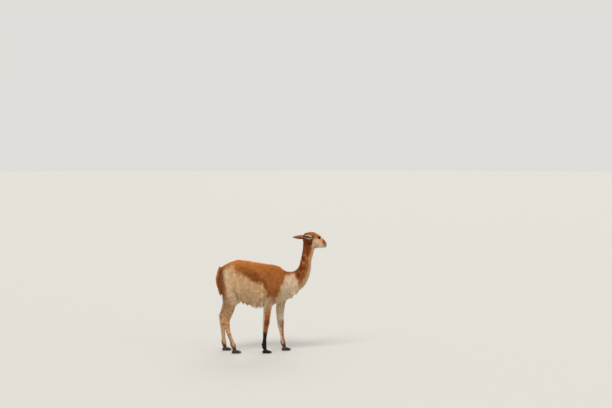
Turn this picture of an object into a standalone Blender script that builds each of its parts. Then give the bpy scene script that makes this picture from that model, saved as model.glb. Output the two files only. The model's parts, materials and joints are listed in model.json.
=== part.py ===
"""A vicuna standing in profile, life size, its head turned a little to its left and its ears laid back.

Metres, +X towards the head, +Y to the animal's left, +Z up. The origin is on the ground, under the
middle of the box round the whole animal.
"""

import math
import random

import bmesh
import bpy
import numpy as np
from mathutils import Matrix, Vector
from mathutils.bvhtree import BVHTree

# Driving sizes
SHOULDER_HEIGHT = 0.88
CM = SHOULDER_HEIGHT / 88.0  # the tables below are in centimetres on an animal 88 cm at the shoulder
GAP = 0.0003  # what touching pieces keep between them
CUT = 0.0004  # the thickness of the cuts that part one form
SEED = 11

# How the flesh is meshed
SPAN_STEPS = 4  # sections between two rows of a table
FLESH_VOXEL = 0.6 * CM
HEAD_VOXEL = 0.28 * CM
FOOT_VOXEL = 0.25 * CM
FLESH_FACES = 4300
HEAD_FACES = 1900
FOOT_FACES = 300

# Trunk: x, top of the back, underside of the core, half width
TRUNK = (
    (-43.0, 82.0, 69.0, 3.5),
    (-42.2, 85.5, 63.5, 8.0),
    (-39.0, 89.6, 58.0, 12.6),
    (-32.0, 93.2, 54.5, 15.2),
    (-24.0, 95.0, 53.0, 16.2),
    (-15.0, 94.3, 51.6, 16.8),
    (-6.0, 92.7, 51.0, 17.2),
    (4.0, 91.2, 50.8, 17.0),
    (12.0, 89.8, 51.2, 16.0),
    (19.0, 87.2, 52.6, 14.4),
    (25.5, 81.8, 55.0, 12.2),
    (31.5, 76.0, 58.5, 9.6),
    (36.5, 71.5, 62.5, 5.6),
)
TRUNK_SQUARENESS = 2.25

# Tubes: x, y, z, half depth fore and aft, half width
NECK = (
    (20.0, 0, 70.0, 16.0, 11.0),
    (29.0, 0, 71.6, 12.6, 9.6),
    (36.6, 0, 75.6, 9.5, 7.7),
    (41.5, 0, 81.2, 7.4, 6.2),
    (44.1, 0, 88.0, 6.2, 5.3),
    (45.5, 0, 96.0, 5.6, 4.9),
    (47.3, 0, 104.0, 5.8, 4.9),
    (48.4, 0, 110.5, 6.2, 5.1),
    (49.4, 0, 115.5, 5.4, 4.8),
)
FORELEG_NEAR = (
    (9.0, -7.5, 76.0, 6.0, 4.0),
    (10.5, -9.8, 67.0, 8.4, 5.0),
    (8.4, -10.2, 58.0, 6.9, 4.6),
    (6.4, -9.8, 51.0, 4.7, 3.6),
    (5.6, -9.4, 44.0, 4.0, 3.1),
    (5.0, -9.2, 37.5, 3.8, 2.8),
    (4.4, -9.2, 32.0, 3.8, 2.9),
    (3.8, -9.3, 27.0, 3.3, 2.5),
    (3.3, -9.4, 21.0, 2.5, 1.9),
    (2.8, -9.5, 15.0, 2.0, 1.7),
    (2.4, -9.6, 9.5, 2.3, 1.95),
    (2.3, -9.6, 7.0, 2.35, 2.1),
)
FORELEG_FAR = (
    (13.0, 7.5, 76.0, 6.0, 4.0),
    (15.5, 9.8, 67.0, 8.4, 5.0),
    (17.6, 10.2, 58.0, 6.9, 4.6),
    (19.0, 9.8, 51.0, 4.9, 3.6),
    (18.4, 9.4, 44.0, 4.3, 3.1),
    (18.2, 9.2, 37.5, 4.0, 2.8),
    (18.6, 9.2, 31.5, 3.7, 2.9),
    (19.0, 9.3, 26.0, 3.3, 2.4),
    (19.7, 9.4, 20.0, 2.5, 1.9),
    (20.4, 9.5, 14.5, 2.1, 1.7),
    (21.1, 9.6, 9.5, 2.3, 1.95),
    (21.6, 9.6, 7.0, 2.35, 2.1),
)
HINDLEG_NEAR = (
    (-27.0, -8.0, 84.0, 9.0, 5.0),
    (-29.5, -10.0, 74.0, 12.2, 6.6),
    (-30.0, -10.6, 65.0, 11.6, 6.8),
    (-31.0, -10.4, 57.0, 8.8, 5.8),
    (-32.9, -10.0, 50.0, 6.4, 4.6),
    (-34.0, -9.8, 43.5, 5.1, 3.7),
    (-35.7, -9.8, 37.0, 4.0, 3.0),
    (-36.2, -9.8, 33.0, 3.5, 2.8),
    (-35.6, -9.9, 27.5, 2.9, 2.3),
    (-33.9, -10.0, 20.5, 2.3, 1.9),
    (-31.4, -10.1, 13.5, 2.05, 1.75),
    (-29.9, -10.2, 9.5, 2.25, 1.95),
    (-29.0, -10.2, 7.0, 2.35, 2.1),
)
HINDLEG_FAR = (
    (-28.0, 8.0, 84.0, 9.0, 5.0),
    (-31.0, 10.0, 74.0, 11.6, 6.6),
    (-32.6, 10.6, 65.0, 10.8, 6.8),
    (-33.7, 10.4, 57.0, 8.3, 5.8),
    (-35.9, 10.0, 48.5, 5.7, 4.4),
    (-38.9, 9.8, 41.0, 4.3, 3.5),
    (-41.0, 9.8, 36.0, 3.8, 3.0),
    (-41.4, 9.8, 32.5, 3.6, 2.8),
    (-41.3, 9.9, 27.0, 3.0, 2.3),
    (-41.0, 10.0, 20.5, 2.4, 1.9),
    (-40.6, 10.1, 13.5, 2.15, 1.75),
    (-40.1, 10.2, 9.5, 2.25, 1.95),
    (-40.0, 10.2, 7.0, 2.35, 2.1),
)
HOCK_POINT = (-2.4, 0, 3.6)  # from the hock's middle: forward, sideways, up
HOCK_RADII = (1.7, 1.36, 2.55)
LEGS = {
    "foreleg_right": FORELEG_NEAR,
    "foreleg_left": FORELEG_FAR,
    "hindleg_right": HINDLEG_NEAR,
    "hindleg_left": HINDLEG_FAR,
}
FETLOCK_CUT = 9.0  # each foot starts below this height
ELBOW_CUT = 49.4  # each foreleg starts below this height
LEG_CUT_SIZES = {"fetlock": (9, 9), "elbow": (15, 12)}

# The cuts between trunk, neck and hind legs: a point, the normal, the extent across and up, the way across
HAM = (0.66, 0, 0.75)
FLESH_CUTS = (
    ((36.5, 0, 73.5), (0.72, 0, 0.69), (40, 34), (0, 1, 0)),
    ((-34.5, 0, 62.5), HAM, (46, 60), (0, 1, 0)),
    ((-41.2, 0, 54.9), (0, 1, 0), (22, 60), HAM),
)
TORSO_SPOT = (-5, 16.5, 75)  # a place on the torso and one on the neck, to tell the pieces by
NECK_SPOT = (45.4, 4.6, 96)
SPOT_REACH = 4.5

# Head, in its own frame: x towards the nose from the middle of the skull, z up
HEAD_AT = (50.5, 0, 116.2)
HEAD_PITCH = math.radians(12)
HEAD_YAW = math.radians(25)
SKULL = (  # x, top, bottom, half width
    (-8.5, 2.4, -3.0, 1.7),
    (-7.6, 5.2, -5.2, 3.7),
    (-5.0, 7.0, -6.8, 4.8),
    (-2.0, 7.7, -7.9, 5.2),
    (1.0, 7.9, -8.6, 5.1),
    (3.8, 7.5, -8.7, 4.7),
    (6.2, 6.6, -8.3, 4.2),
    (8.6, 5.4, -7.7, 3.7),
    (11.0, 4.3, -7.2, 3.2),
    (13.4, 3.1, -6.7, 2.8),
    (15.4, 1.6, -6.1, 2.6),
    (17.1, -0.4, -5.4, 2.2),
    (18.0, -2.0, -4.6, 1.2),
)
HEAD_FORMS = (  # jaw, cheek, nose, chin, ear base, brow: a place and three radii, on both sides
    ((1.2, 3.2, -4.0), (4.2, 1.8, 4.0)),
    ((5.2, 2.7, -3.4), (4.4, 1.7, 3.2)),
    ((15.7, 1.1, -2.0), (2.1, 1.3, 1.8)),
    ((14.8, 0.8, -5.0), (2.0, 1.5, 1.1)),
    ((-2.6, 3.5, 1.6), (2.4, 1.7, 2.2)),
    ((6.3, 2.5, 4.4), (2.7, 1.5, 1.5)),
)
EYE_AT = (6.5, 2.8, 3.1)
EYE_RADIUS = 1.62
EYE_FACETS = 14
EYE_LOOK = Vector((0.34, 0.93, 0.12)).normalized()
EYE_OPENING = (1.4, 0.9, 1.15)  # half length, half height and half depth of the gap between the lids
EYE_OPENING_OUT = 0.25  # how far the gap's middle is outside the eyeball
EYE_TILT = 0.3  # how far the eye's front corner is under its back one
LID = 0.26  # thickness
ORBIT = (1.2, 0.98, 1.05)  # the swelling round an eye, as shares of the lid's radius
EAR_AT = (-2.4, 4.3, 1.6)
EAR_LENGTH = 17.0
EAR_IN_HEAD = 0.12  # the share of an ear that is inside the head
EAR_WALL = 0.32
EAR_FLATNESS = 0.85  # the roll's depth, as a share of its width
EAR_FALL = -0.2  # how far the mouth of an ear turns down
EAR_SPLAY = (math.radians(32), math.radians(25))  # of the near and the far ear, out from straight back
EAR_RISE = (math.radians(0), math.radians(-9))
EAR_PROFILE = (  # share of the length, radius, half of the arc that the roll covers
    (0, 1.3, 170),
    (0.14, 1.7, 165),
    (0.34, 2.05, 150),
    (0.55, 2.0, 140),
    (0.76, 1.5, 125),
    (0.91, 0.85, 105),
    (1, 0.24, 90),
)
EAR_TWIST = math.radians(24)
EAR_CURVE = 0.6  # how far the tip droops
EAR_STEPS, EAR_SIDES = 9, 10
MOUTH_CENTRE = (15.0, -3.9)  # x and z of the middle of the front of the mouth
MOUTH_LENGTH = 4.6
MOUTH_SAG = -0.25
MOUTH_LIFT = 0.5
MOUTH_STEPS = 8  # from the middle to a corner
MOUTH_FRONT = 0.56  # the share of the lips that goes round the front
NOSTRIL = ((17.3, 0.9, -1.7), (16.7, 1.5, -1.75), (16.0, 2.0, -2.2))
NOSTRIL_AXIS = 12.0  # the x that a nostril's points are seen from
SPLIT = ((13, -2.2), (13, -2.9), (13, -3.6))  # x and z behind the split in the upper lip
GROOVES = {"nostril": 0.22, "lips": 0.14, "split": 0.1}  # radii
GROOVE_END = 0.45  # a groove's radius at its ends, as a share
CROWN_ROWS = ((-4.0, 4, 2.6), (-1.6, 5, 3.2), (0.8, 4, 2.6))  # x, how many, half spread
NAPE_CUT = ((48.4, 0, 109.4), (0.36, 0, 0.93))  # a point of the cut and its normal, in the body's frame
NAPE_CUT_SIZE = (24, 24)

# The coat's long locks: tiers along the flanks, and across the front of the chest
FLANK_TIERS = (  # height, first and last x, spacing, length, width
    (66.5, 17.0, 34.0, 5.2, 8.0, 5.2),
    (62.0, -21.0, 34.0, 5.4, 8.5, 5.2),
    (57.6, -24.0, 30.0, 5.4, 8.5, 5.2),
    (53.6, -23.0, 25.0, 5.4, 7.0, 5.2),
)
CHEST_TIERS = ((66.6, 4.0, 3), (62.0, 6.0, 4))  # height, half spread, how many
CHEST_LENGTH = 9.0
LOWEST_HAIR = (-4.0, 8.0, 0.3)  # the x where the belly's hair is longest, its spread, how much longer
LOCK_THICKNESS = 1.2
LOCK_OUTLINE = (0.8, 1.0, 0.7)  # its width from root to tip, as shares of the widest
LOCK_SINK = (0.9, 0.06)  # the root's depth as a share of the thickness, its set back as one of the length
LOCK_THINNING = 0.75  # how much of the thickness is gone in the last section
LOCK_SETTLE = 0.45  # how much of its lift a lock loses along its length
LOCK_TIP = 0.12  # the tip's size, as a share of the last section
LOCK_SWEEP = (-0.25, 0.2)  # how far back a lock on the trunk lies, and the chance in that
TRUNK_HANG, TAIL_HANG, CROWN_HANG = (0.2, 0.3), (0.2, 0.2), (0.4, 0.1)  # lift and droop
TAIL_LOCK = (7.0, 3.4, 1.0)  # length, width and thickness
TAIL_TURNS = (-70, 0, 70)  # degrees from straight back
TAIL_STAGGER = 35  # degrees between one level and the next
CROWN_LOCK = (3.2, 2.4, 1.0)
RAY_START = 60.0  # how far out the search for the surface starts

# Feet, forward from the fetlock: x, height, half height, half width
PASTERN = ((0.0, 10.5, 2.0), (0.0, 8.0, 2.2), (0.3, 5.6, 2.1), (1.1, 3.6, 1.75), (1.6, 2.6, 1.4))
TOE = (  # x, height, half height, half width
    (-1.9, 1.7, 0.6, 0.6),
    (-1.3, 1.55, 1.3, 1.15),
    (0.4, 1.5, 1.55, 1.35),
    (2.4, 1.6, 1.7, 1.42),
    (4.3, 1.4, 1.5, 1.36),
    (5.7, 1.15, 1.15, 1.1),
    (6.4, 1.0, 0.5, 0.6),
)
TOE_SPREAD = (1.1, 1.75)  # half the space between the toes' middles, at the heel and the tip
FOOT_REACH = 15  # more than a foot reaches from the fetlock, any way
NAIL = ((4.4, 1.9, 0.8), (5.6, 1.75, 0.85), (6.9, 1.25, 0.62), (7.9, 0.65, 0.16))  # x, height, radius
NAIL_BACK = (0.35, 0, 0.94)  # the way up in a nail's sections

# Tail: x, z, half depth, half width of its core
TAIL = (
    (-40.0, 87.2, 2.6, 3.0),
    (-43.6, 84.6, 2.3, 3.0),
    (-45.0, 79.5, 1.9, 2.8),
    (-45.1, 73.5, 1.7, 2.5),
    (-44.3, 67.5, 1.3, 2.0),
    (-43.2, 62.5, 0.6, 1.0),
)

COLOURS = {
    "body_coat": (0.55, 0.36, 0.20),
    "neck_coat": (0.36, 0.17, 0.07),
    "tail_coat": (0.42, 0.20, 0.075),
    "face_coat": (0.55, 0.33, 0.17),
    "ear_coat": (0.34, 0.17, 0.08),
    "leg_coat": (0.58, 0.42, 0.27),
    "foot_skin": (0.03, 0.024, 0.022),
    "nail": (0.03, 0.025, 0.022),
    "eye": (0.012, 0.008, 0.006),
}


def clear_scene():
    for obj in list(bpy.data.objects):
        bpy.data.objects.remove(obj)


def new_collection(name):
    collection = bpy.data.collections.new(name)
    bpy.context.scene.collection.children.link(collection)
    return collection


def material(name, roughness=0.85):
    made = bpy.data.materials.get(name)
    if made is None:
        made = bpy.data.materials.new(name)
        made.use_nodes = True
        shader = made.node_tree.nodes["Principled BSDF"]
        shader.inputs["Base Color"].default_value = (*COLOURS[name], 1)
        shader.inputs["Roughness"].default_value = roughness
        shader.inputs["Metallic"].default_value = 0
        made.diffuse_color = (*COLOURS[name], 1)
    return made


def mesh_object(name, points, faces, collection):
    """Points in metres. The faces are turned to face out."""
    mesh = bpy.data.meshes.new(name)
    mesh.from_pydata([tuple(p) for p in points], [], faces)
    work = bmesh.new()
    work.from_mesh(mesh)
    return object_from(work, name, collection)


def object_from(work, name, collection):
    """An object from closed surfaces in a bmesh, which is freed."""
    bmesh.ops.recalc_face_normals(work, faces=work.faces)
    if work.calc_volume(signed=True) < 0:
        bmesh.ops.reverse_faces(work, faces=work.faces)
    mesh = bpy.data.meshes.new(name)
    work.to_mesh(mesh)
    work.free()
    obj = bpy.data.objects.new(name, mesh)
    collection.objects.link(obj)
    return obj


def smooth_rows(rows, per_span):
    """Catmull-Rom samples through the rows of a table."""
    table = np.array(rows, float)
    ends = np.vstack([2 * table[0] - table[1], table, 2 * table[-1] - table[-2]])
    samples = []
    for i in range(len(table) - 1):
        a, b, c, d = ends[i : i + 4]
        for t in np.arange(per_span) / per_span:
            curve = (2 * a - 5 * b + 4 * c - d) * t**2 + (3 * b - a - 3 * c + d) * t**3
            samples.append((2 * b + (c - a) * t + curve) / 2)
    samples.append(table[-1])
    return np.array(samples)


def ring(centre, up, side, half_up, half_side, count, squareness=2.0):
    """A superellipse about centre, in the plane of up and side."""
    angles = np.arange(count) * 2 * math.pi / count
    c, s = np.cos(angles), np.sin(angles)
    power = 2 / squareness
    across = np.sign(c) * np.abs(c) ** power * half_side
    along = np.sign(s) * np.abs(s) ** power * half_up
    return np.array(centre) + np.outer(across, side) + np.outer(along, up)


def loft(name, rings, collection):
    """A closed skin over rings of equal length, with flat ends."""
    count = len(rings[0])
    faces = []
    for i in range(len(rings) - 1):
        for j in range(count):
            k = (j + 1) % count
            faces.append((i * count + j, i * count + k, (i + 1) * count + k, (i + 1) * count + j))
    faces.append(tuple(reversed(range(count))))
    faces.append(tuple((len(rings) - 1) * count + j for j in range(count)))
    return mesh_object(name, np.vstack(rings), faces, collection)


def trunk_loft(name, rows, collection, squareness, sides=28):
    """Upright sections from a table of x, top, bottom and half width."""
    rings = []
    for x, top, bottom, half_width in smooth_rows(rows, SPAN_STEPS) * CM:
        centre = (x, 0, (top + bottom) / 2)
        rings.append(ring(centre, (0, 0, 1), (0, 1, 0), (top - bottom) / 2, half_width, sides, squareness))
    return loft(name, rings, collection)


def tube(name, rows, collection, sides=20):
    """Sections square to the path of a table of x, y, z, half depth and half width."""
    samples = smooth_rows(rows, SPAN_STEPS) * CM
    path = samples[:, :3]
    tangents = np.gradient(path, axis=0)
    rings = []
    for centre, tangent, (depth, width) in zip(path, tangents, samples[:, 3:]):
        tangent = tangent / np.linalg.norm(tangent)
        side = np.array((0, 1, 0)) - tangent * tangent[1]
        side /= np.linalg.norm(side)
        rings.append(ring(centre, np.cross(tangent, side), side, depth, width, sides))
    return loft(name, rings, collection)


def ball(name, centre, radii, collection, turn=None, segments=20):
    """An ellipsoid in metres."""
    work = bmesh.new()
    bmesh.ops.create_uvsphere(work, u_segments=segments, v_segments=segments // 2, radius=1)
    work.transform(Matrix.Translation(centre) @ (turn or Matrix()) @ Matrix.Diagonal((*radii, 1)))
    return object_from(work, name, collection)


def box(name, low, high, collection):
    """Corners in centimetres."""
    low, high = Vector(low) * CM, Vector(high) * CM
    work = bmesh.new()
    bmesh.ops.create_cube(work, size=1)
    work.transform(Matrix.Translation((low + high) / 2) @ Matrix.Diagonal((*(high - low), 1)))
    return object_from(work, name, collection)


def remove(objects):
    for obj in list(objects):
        bpy.data.objects.remove(obj)


def applied(obj):
    """The object's mesh with its modifiers worked out and removed."""
    bpy.context.view_layer.update()
    graph = bpy.context.evaluated_depsgraph_get()
    mesh = bpy.data.meshes.new_from_object(obj.evaluated_get(graph))
    obj.modifiers.clear()
    obj.data = mesh
    return obj


def joined(name, objects, collection):
    """One object that holds the meshes of all of these, which are removed."""
    work = bmesh.new()
    for obj in objects:
        copy = obj.data.copy()
        copy.transform(obj.matrix_world)
        work.from_mesh(copy)
    remove(objects)
    return object_from(work, name, collection)


def one_skin(obj, voxel, rounds, faces):
    """Melts overlapping closed forms into one smooth closed skin of about that many triangles."""
    remesh = obj.modifiers.new("Remesh", "REMESH")
    remesh.mode = "VOXEL"
    remesh.voxel_size = voxel
    smooth = obj.modifiers.new("Smooth", "SMOOTH")
    smooth.factor = 0.5
    smooth.iterations = rounds
    applied(obj)
    obj.data = largest_surface(obj.data)
    triangles = sum(len(p.vertices) - 2 for p in obj.data.polygons)
    thin = obj.modifiers.new("Decimate", "DECIMATE")
    thin.ratio = min(1.0, faces / triangles)
    return applied(obj)


def surfaces(mesh):
    """The mesh's separate closed surfaces, as lists of faces, largest first."""
    work = bmesh.new()
    work.from_mesh(mesh)
    left = set(work.verts)
    found = []
    while left:
        stack = [left.pop()]
        island = set(stack)
        while stack:
            for edge in stack.pop().link_edges:
                for vert in edge.verts:
                    if vert in left:
                        left.remove(vert)
                        island.add(vert)
                        stack.append(vert)
        found.append(island)
    found.sort(key=len, reverse=True)
    meshes = []
    for island in found:
        part = work.copy()
        part.verts.ensure_lookup_table()
        keep = {v.index for v in island}
        bmesh.ops.delete(part, geom=[v for v in part.verts if v.index not in keep], context="VERTS")
        made = bpy.data.meshes.new("surface")
        part.to_mesh(made)
        part.free()
        meshes.append(made)
    work.free()
    return meshes


def largest_surface(mesh):
    return surfaces(mesh)[0]


def boolean(obj, other, operation):
    """Joins or cuts with an object or a collection, by the solver that keeps dense closed forms closed."""
    cut = obj.modifiers.new(operation.title(), "BOOLEAN")
    cut.operation = operation
    cut.solver = "MANIFOLD"
    if isinstance(other, bpy.types.Collection):
        cut.operand_type = "COLLECTION"
        cut.collection = other
    else:
        cut.object = other
    return applied(obj)


def slab(name, centre, normal, size, collection, across=(0, 1, 0)):
    """A sheet as thin as a cut, square to normal, for parting a form. size is its extent across and up."""
    normal = Vector(normal).normalized()
    up = normal.cross(Vector(across)).normalized()
    turn = Matrix((up.cross(normal), up, normal)).transposed().to_4x4()
    work = bmesh.new()
    bmesh.ops.create_cube(work, size=1)
    place = Matrix.Translation(Vector(centre) * CM) @ turn
    work.transform(place @ Matrix.Diagonal((size[0] * CM, size[1] * CM, CUT, 1)))
    return object_from(work, name, collection)


def swollen(obj, distance, collection):
    """A copy of the object with its surface moved out along its normals."""
    mesh = obj.data.copy()
    normals = [v.normal.copy() for v in mesh.vertices]
    for vert, normal in zip(mesh.vertices, normals):
        vert.co += normal * distance
    mesh.update()
    copy = bpy.data.objects.new(obj.name + "_swollen", mesh)
    copy.matrix_world = obj.matrix_world
    collection.objects.link(copy)
    return copy


def yield_to(obj, others, collection):
    """Cuts obj clear of the others, so that they meet with a gap, and keeps its largest surface."""
    for other in others:
        cutter = swollen(other, GAP, collection)
        boolean(obj, cutter, "DIFFERENCE")
        remove([cutter])
    obj.data = largest_surface(obj.data)
    return obj


def head_matrix():
    turn = Matrix.Rotation(HEAD_YAW, 4, "Z") @ Matrix.Rotation(HEAD_PITCH, 4, "Y")
    return Matrix.Translation(Vector(HEAD_AT) * CM) @ turn


def lock(root, lie, normal, size, hang, collection):
    """A flat tapered lock of hair, rooted under the surface, that lifts, then droops along its lie.

    root is in metres; size is length, width and thickness in centimetres; hang is lift and droop.
    """
    length, width, thickness = (value * CM for value in size)
    lift, droop = hang
    side = lie.cross(normal).normalized()
    at = root - normal * thickness * LOCK_SINK[0] - lie * length * LOCK_SINK[1]
    heading = (lie + normal * lift).normalized()
    steps = len(LOCK_OUTLINE)
    sections = []
    for i, share in enumerate(LOCK_OUTLINE):
        across = heading.cross(side).normalized()
        half_width = width / 2 * share
        half_depth = thickness / 2 * (1 - LOCK_THINNING * i / (steps - 1))
        sections.append(ring(at, across, side, half_depth, half_width, 4))
        at = at + heading * length / steps
        heading = heading + (Vector((0, 0, -1)) * droop - normal * lift * LOCK_SETTLE) / steps
        heading.normalize()
    last = sections[-1]
    tip = np.array(at) + (last - last.mean(0)) * LOCK_TIP
    return loft("lock", [*sections, tip], collection)


def fuse(obj, pieces):
    """Joins a collection of closed pieces into obj and empties it."""
    boolean(obj, pieces, "UNION")
    remove(pieces.objects)
    obj.data = largest_surface(obj.data)
    return obj


def finish(obj, name, material_name, parts, roughness=0.85):
    obj.name = name
    obj.data.name = name
    obj.data.materials.clear()
    obj.data.materials.append(material(material_name, roughness))
    for collection in list(obj.users_collection):
        collection.objects.unlink(obj)
    parts.objects.link(obj)
    obj.data.shade_smooth()
    obj.data.set_sharp_from_angle(angle=math.radians(40))
    return obj


# The flesh: trunk, neck and legs in one skin, parted by thin cuts


def make_flesh(work, parts):
    forms = [trunk_loft("trunk", TRUNK, work, TRUNK_SQUARENESS), tube("neck", NECK, work, sides=24)]
    for name, rows in LEGS.items():
        forms.append(tube(name, rows, work))
    for rows in (HINDLEG_NEAR, HINDLEG_FAR):
        hock = Vector(rows[7][:3]) + Vector(HOCK_POINT)
        middle = (Vector(rows[6][:3]) + hock) / 2
        for at in (hock, middle):
            forms.append(ball("hock", at * CM, Vector(HOCK_RADII) * CM, work))
    skull = trunk_loft("skull", SKULL, work, 2.0, sides=20)
    skull.data.transform(head_matrix())
    forms.append(skull)
    flesh = joined("flesh", forms, work)
    one_skin(flesh, FLESH_VOXEL, 10, FLESH_FACES)
    cuts = [slab("nape_cut", *NAPE_CUT, NAPE_CUT_SIZE, work)]
    for place, normal, size, across in FLESH_CUTS:
        cuts.append(slab("flesh_cut", place, normal, size, work, across))
    for rows in LEGS.values():
        levels = {"fetlock": (*rows[-2][:2], FETLOCK_CUT)}
        if rows in (FORELEG_NEAR, FORELEG_FAR):
            levels["elbow"] = (*rows[3][:2], ELBOW_CUT)
        for joint, place in levels.items():
            cuts.append(slab(joint, place, (0, 0, 1), LEG_CUT_SIZES[joint], work))
    for cut in cuts:
        boolean(flesh, cut, "DIFFERENCE")
    remove(cuts)
    spots = {"torso": TORSO_SPOT, "neck": NECK_SPOT, **{name: rows[5][:3] for name, rows in LEGS.items()}}
    pieces = {}
    for mesh in surfaces(flesh.data):
        points = np.array([v.co for v in mesh.vertices]) / CM
        near = {name: np.linalg.norm(points - spot, axis=1).min() for name, spot in spots.items()}
        name = min(near, key=near.get)
        if near[name] < SPOT_REACH and name not in pieces:
            obj = bpy.data.objects.new(name, mesh)
            parts.objects.link(obj)
            pieces[name] = obj
    remove([flesh])
    return pieces


def toe_middle(dx):
    """How far a toe's middle line is from the foot's, that far forward."""
    return np.interp(dx, (TOE[0][0], TOE[-1][0]), TOE_SPREAD)


def make_foot(name, rows, work):
    """Two padded toes under the fetlock, flat where they stand."""
    x, y, _ = rows[-1][:3]
    forms = [tube("pastern", [(x + dx, y, z, r, r) for dx, z, r in PASTERN], work, sides=16)]
    for side in (-1, 1):
        rings = []
        for dx, z, up, wide in smooth_rows(TOE, SPAN_STEPS):
            centre = np.array((x + dx, y + side * toe_middle(dx), z)) * CM
            rings.append(ring(centre, (0, 0, 1), (0, 1, 0), up * CM, wide * CM, 14, 2.3))
        forms.append(loft("toe", rings, work))
    foot = joined(name, forms, work)
    one_skin(foot, FOOT_VOXEL, 3, FOOT_FACES)
    reach = Vector((FOOT_REACH, FOOT_REACH, 0))
    for low, high in ((-FOOT_REACH, 0), (FETLOCK_CUT - CUT / 2 / CM, FETLOCK_CUT + FOOT_REACH)):
        level = box("level", Vector((x, y, low)) - reach, Vector((x, y, high)) + reach, work)
        boolean(foot, level, "DIFFERENCE")
        remove([level])
    foot.data = largest_surface(foot.data)
    return foot


def make_nail(name, rows, side, work):
    x, y, _ = rows[-1][:3]
    rings = []
    for dx, z, radius in NAIL:
        centre = np.array((x + dx, y + side * toe_middle(dx), z)) * CM
        rings.append(ring(centre, NAIL_BACK, (0, 1, 0), radius * 0.9 * CM, radius * CM, 8))
    return loft(name, rings, work)


# The head, made in its own frame and then set on the neck


def mirrored(point, side):
    return Vector((point[0], point[1] * side, point[2]))


def eye_turn(side):
    """The eye's frame: x along the gap between the lids, y up it, z out of the eye."""
    look = mirrored(EYE_LOOK, side)
    along = Vector((1, 0, EYE_TILT)).cross(look).cross(look) * -1
    along.normalize()
    return Matrix((along, look.cross(along), look)).transposed().to_4x4()


def make_eye(side, work):
    radius = EYE_RADIUS * CM
    return ball("eye", mirrored(EYE_AT, side) * CM, (radius,) * 3, work, eye_turn(side), EYE_FACETS)


def surface_point(tree, centre, direction):
    """Where a ray from far out towards centre meets the surface, and the normal there."""
    direction = Vector(direction).normalized()
    place, normal, _, _ = tree.ray_cast((Vector(centre) + direction * RAY_START) * CM, -direction)
    return place, normal


def groove(name, points, collection):
    """A closed round tube through points in metres, for cutting."""
    path = np.array([tuple(p) for p in points])
    tangents = np.gradient(path, axis=0)
    rings = []
    for i, (centre, tangent) in enumerate(zip(path, tangents)):
        tangent = tangent / np.linalg.norm(tangent)
        side = np.cross(tangent, (0, 0.1, 1.0))
        side /= np.linalg.norm(side)
        size = GROOVES[name] * CM * (GROOVE_END if i in (0, len(path) - 1) else 1)
        rings.append(ring(centre, np.cross(side, tangent), side, size, size, 6))
    return loft(name, rings, collection)


def make_head(work):
    forms = [trunk_loft("skull", SKULL, work, 2.1, sides=24)]
    stub = tube("stub", NECK[4:], work, sides=24)
    stub.data.transform(head_matrix().inverted())
    forms.append(stub)
    for side in (-1, 1):
        for at, radii in HEAD_FORMS:
            forms.append(ball("form", mirrored(at, side) * CM, tuple(r * CM for r in radii), work))
        radii = Vector(ORBIT) * (EYE_RADIUS + LID) * CM
        forms.append(ball("orbit", mirrored(EYE_AT, side) * CM, radii, work))
    head = joined("head", forms, work)
    one_skin(head, HEAD_VOXEL, 5, HEAD_FACES)
    cut = slab("nape_cut", *NAPE_CUT, NAPE_CUT_SIZE, work)
    cut.data.transform(head_matrix().inverted())
    boolean(head, cut, "DIFFERENCE")
    remove([cut])
    head.data = max(surfaces(head.data), key=lambda m: max(v.co.x for v in m.vertices))
    tree = BVHTree.FromObject(head, bpy.context.evaluated_depsgraph_get())
    add_face(head, tree, work)
    return head


def add_face(head, tree, work):
    """Eye sockets between lids, the line of the lips, the split lip and the nostrils."""
    cutters = []
    for side in (-1, 1):
        centre = mirrored(EYE_AT, side) * CM
        turn = eye_turn(side)
        lid = ball("lid", centre, ((EYE_RADIUS + LID) * CM,) * 3, work, turn, 20)
        boolean(head, lid, "UNION")
        remove([lid])
        socket = (EYE_RADIUS * CM + GAP,) * 3
        cutters.append(ball("socket", centre, socket, work, turn, EYE_FACETS))
        out = turn @ Vector((0, 0, (EYE_RADIUS + EYE_OPENING_OUT) * CM))
        cutters.append(ball("opening", centre + out, Vector(EYE_OPENING) * CM, work, turn, 16))
        nostril = []
        for x, y, z in NOSTRIL:
            direction = (x - NOSTRIL_AXIS, y * side, 0)
            nostril.append(surface_point(tree, (NOSTRIL_AXIS, 0, z), direction)[0])
        cutters.append(groove("nostril", nostril, work))
    cutters.append(groove("lips", lip_line(tree), work))
    split = [surface_point(tree, (x, 0, z), (1, 0, 0))[0] for x, z in SPLIT]
    cutters.append(groove("split", split, work))
    for cutter in cutters:
        boolean(head, cutter, "DIFFERENCE")
    remove(cutters)
    head.data = largest_surface(head.data)


def lip_line(tree):
    """Points round the front of the muzzle and back along both cheeks."""
    lips = []
    for step in range(-MOUTH_STEPS, MOUTH_STEPS + 1):
        share = abs(step) / MOUTH_STEPS
        back = max(0.0, share - MOUTH_FRONT) / (1 - MOUTH_FRONT)
        x = MOUTH_CENTRE[0] - back * MOUTH_LENGTH
        z = MOUTH_CENTRE[1] + MOUTH_SAG * math.sin(share * math.pi) + back * MOUTH_LIFT
        turn = math.pi / 2 * step / MOUTH_STEPS
        lips.append(surface_point(tree, (x, 0, z), (math.cos(turn), math.sin(turn), 0))[0])
    return lips


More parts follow.
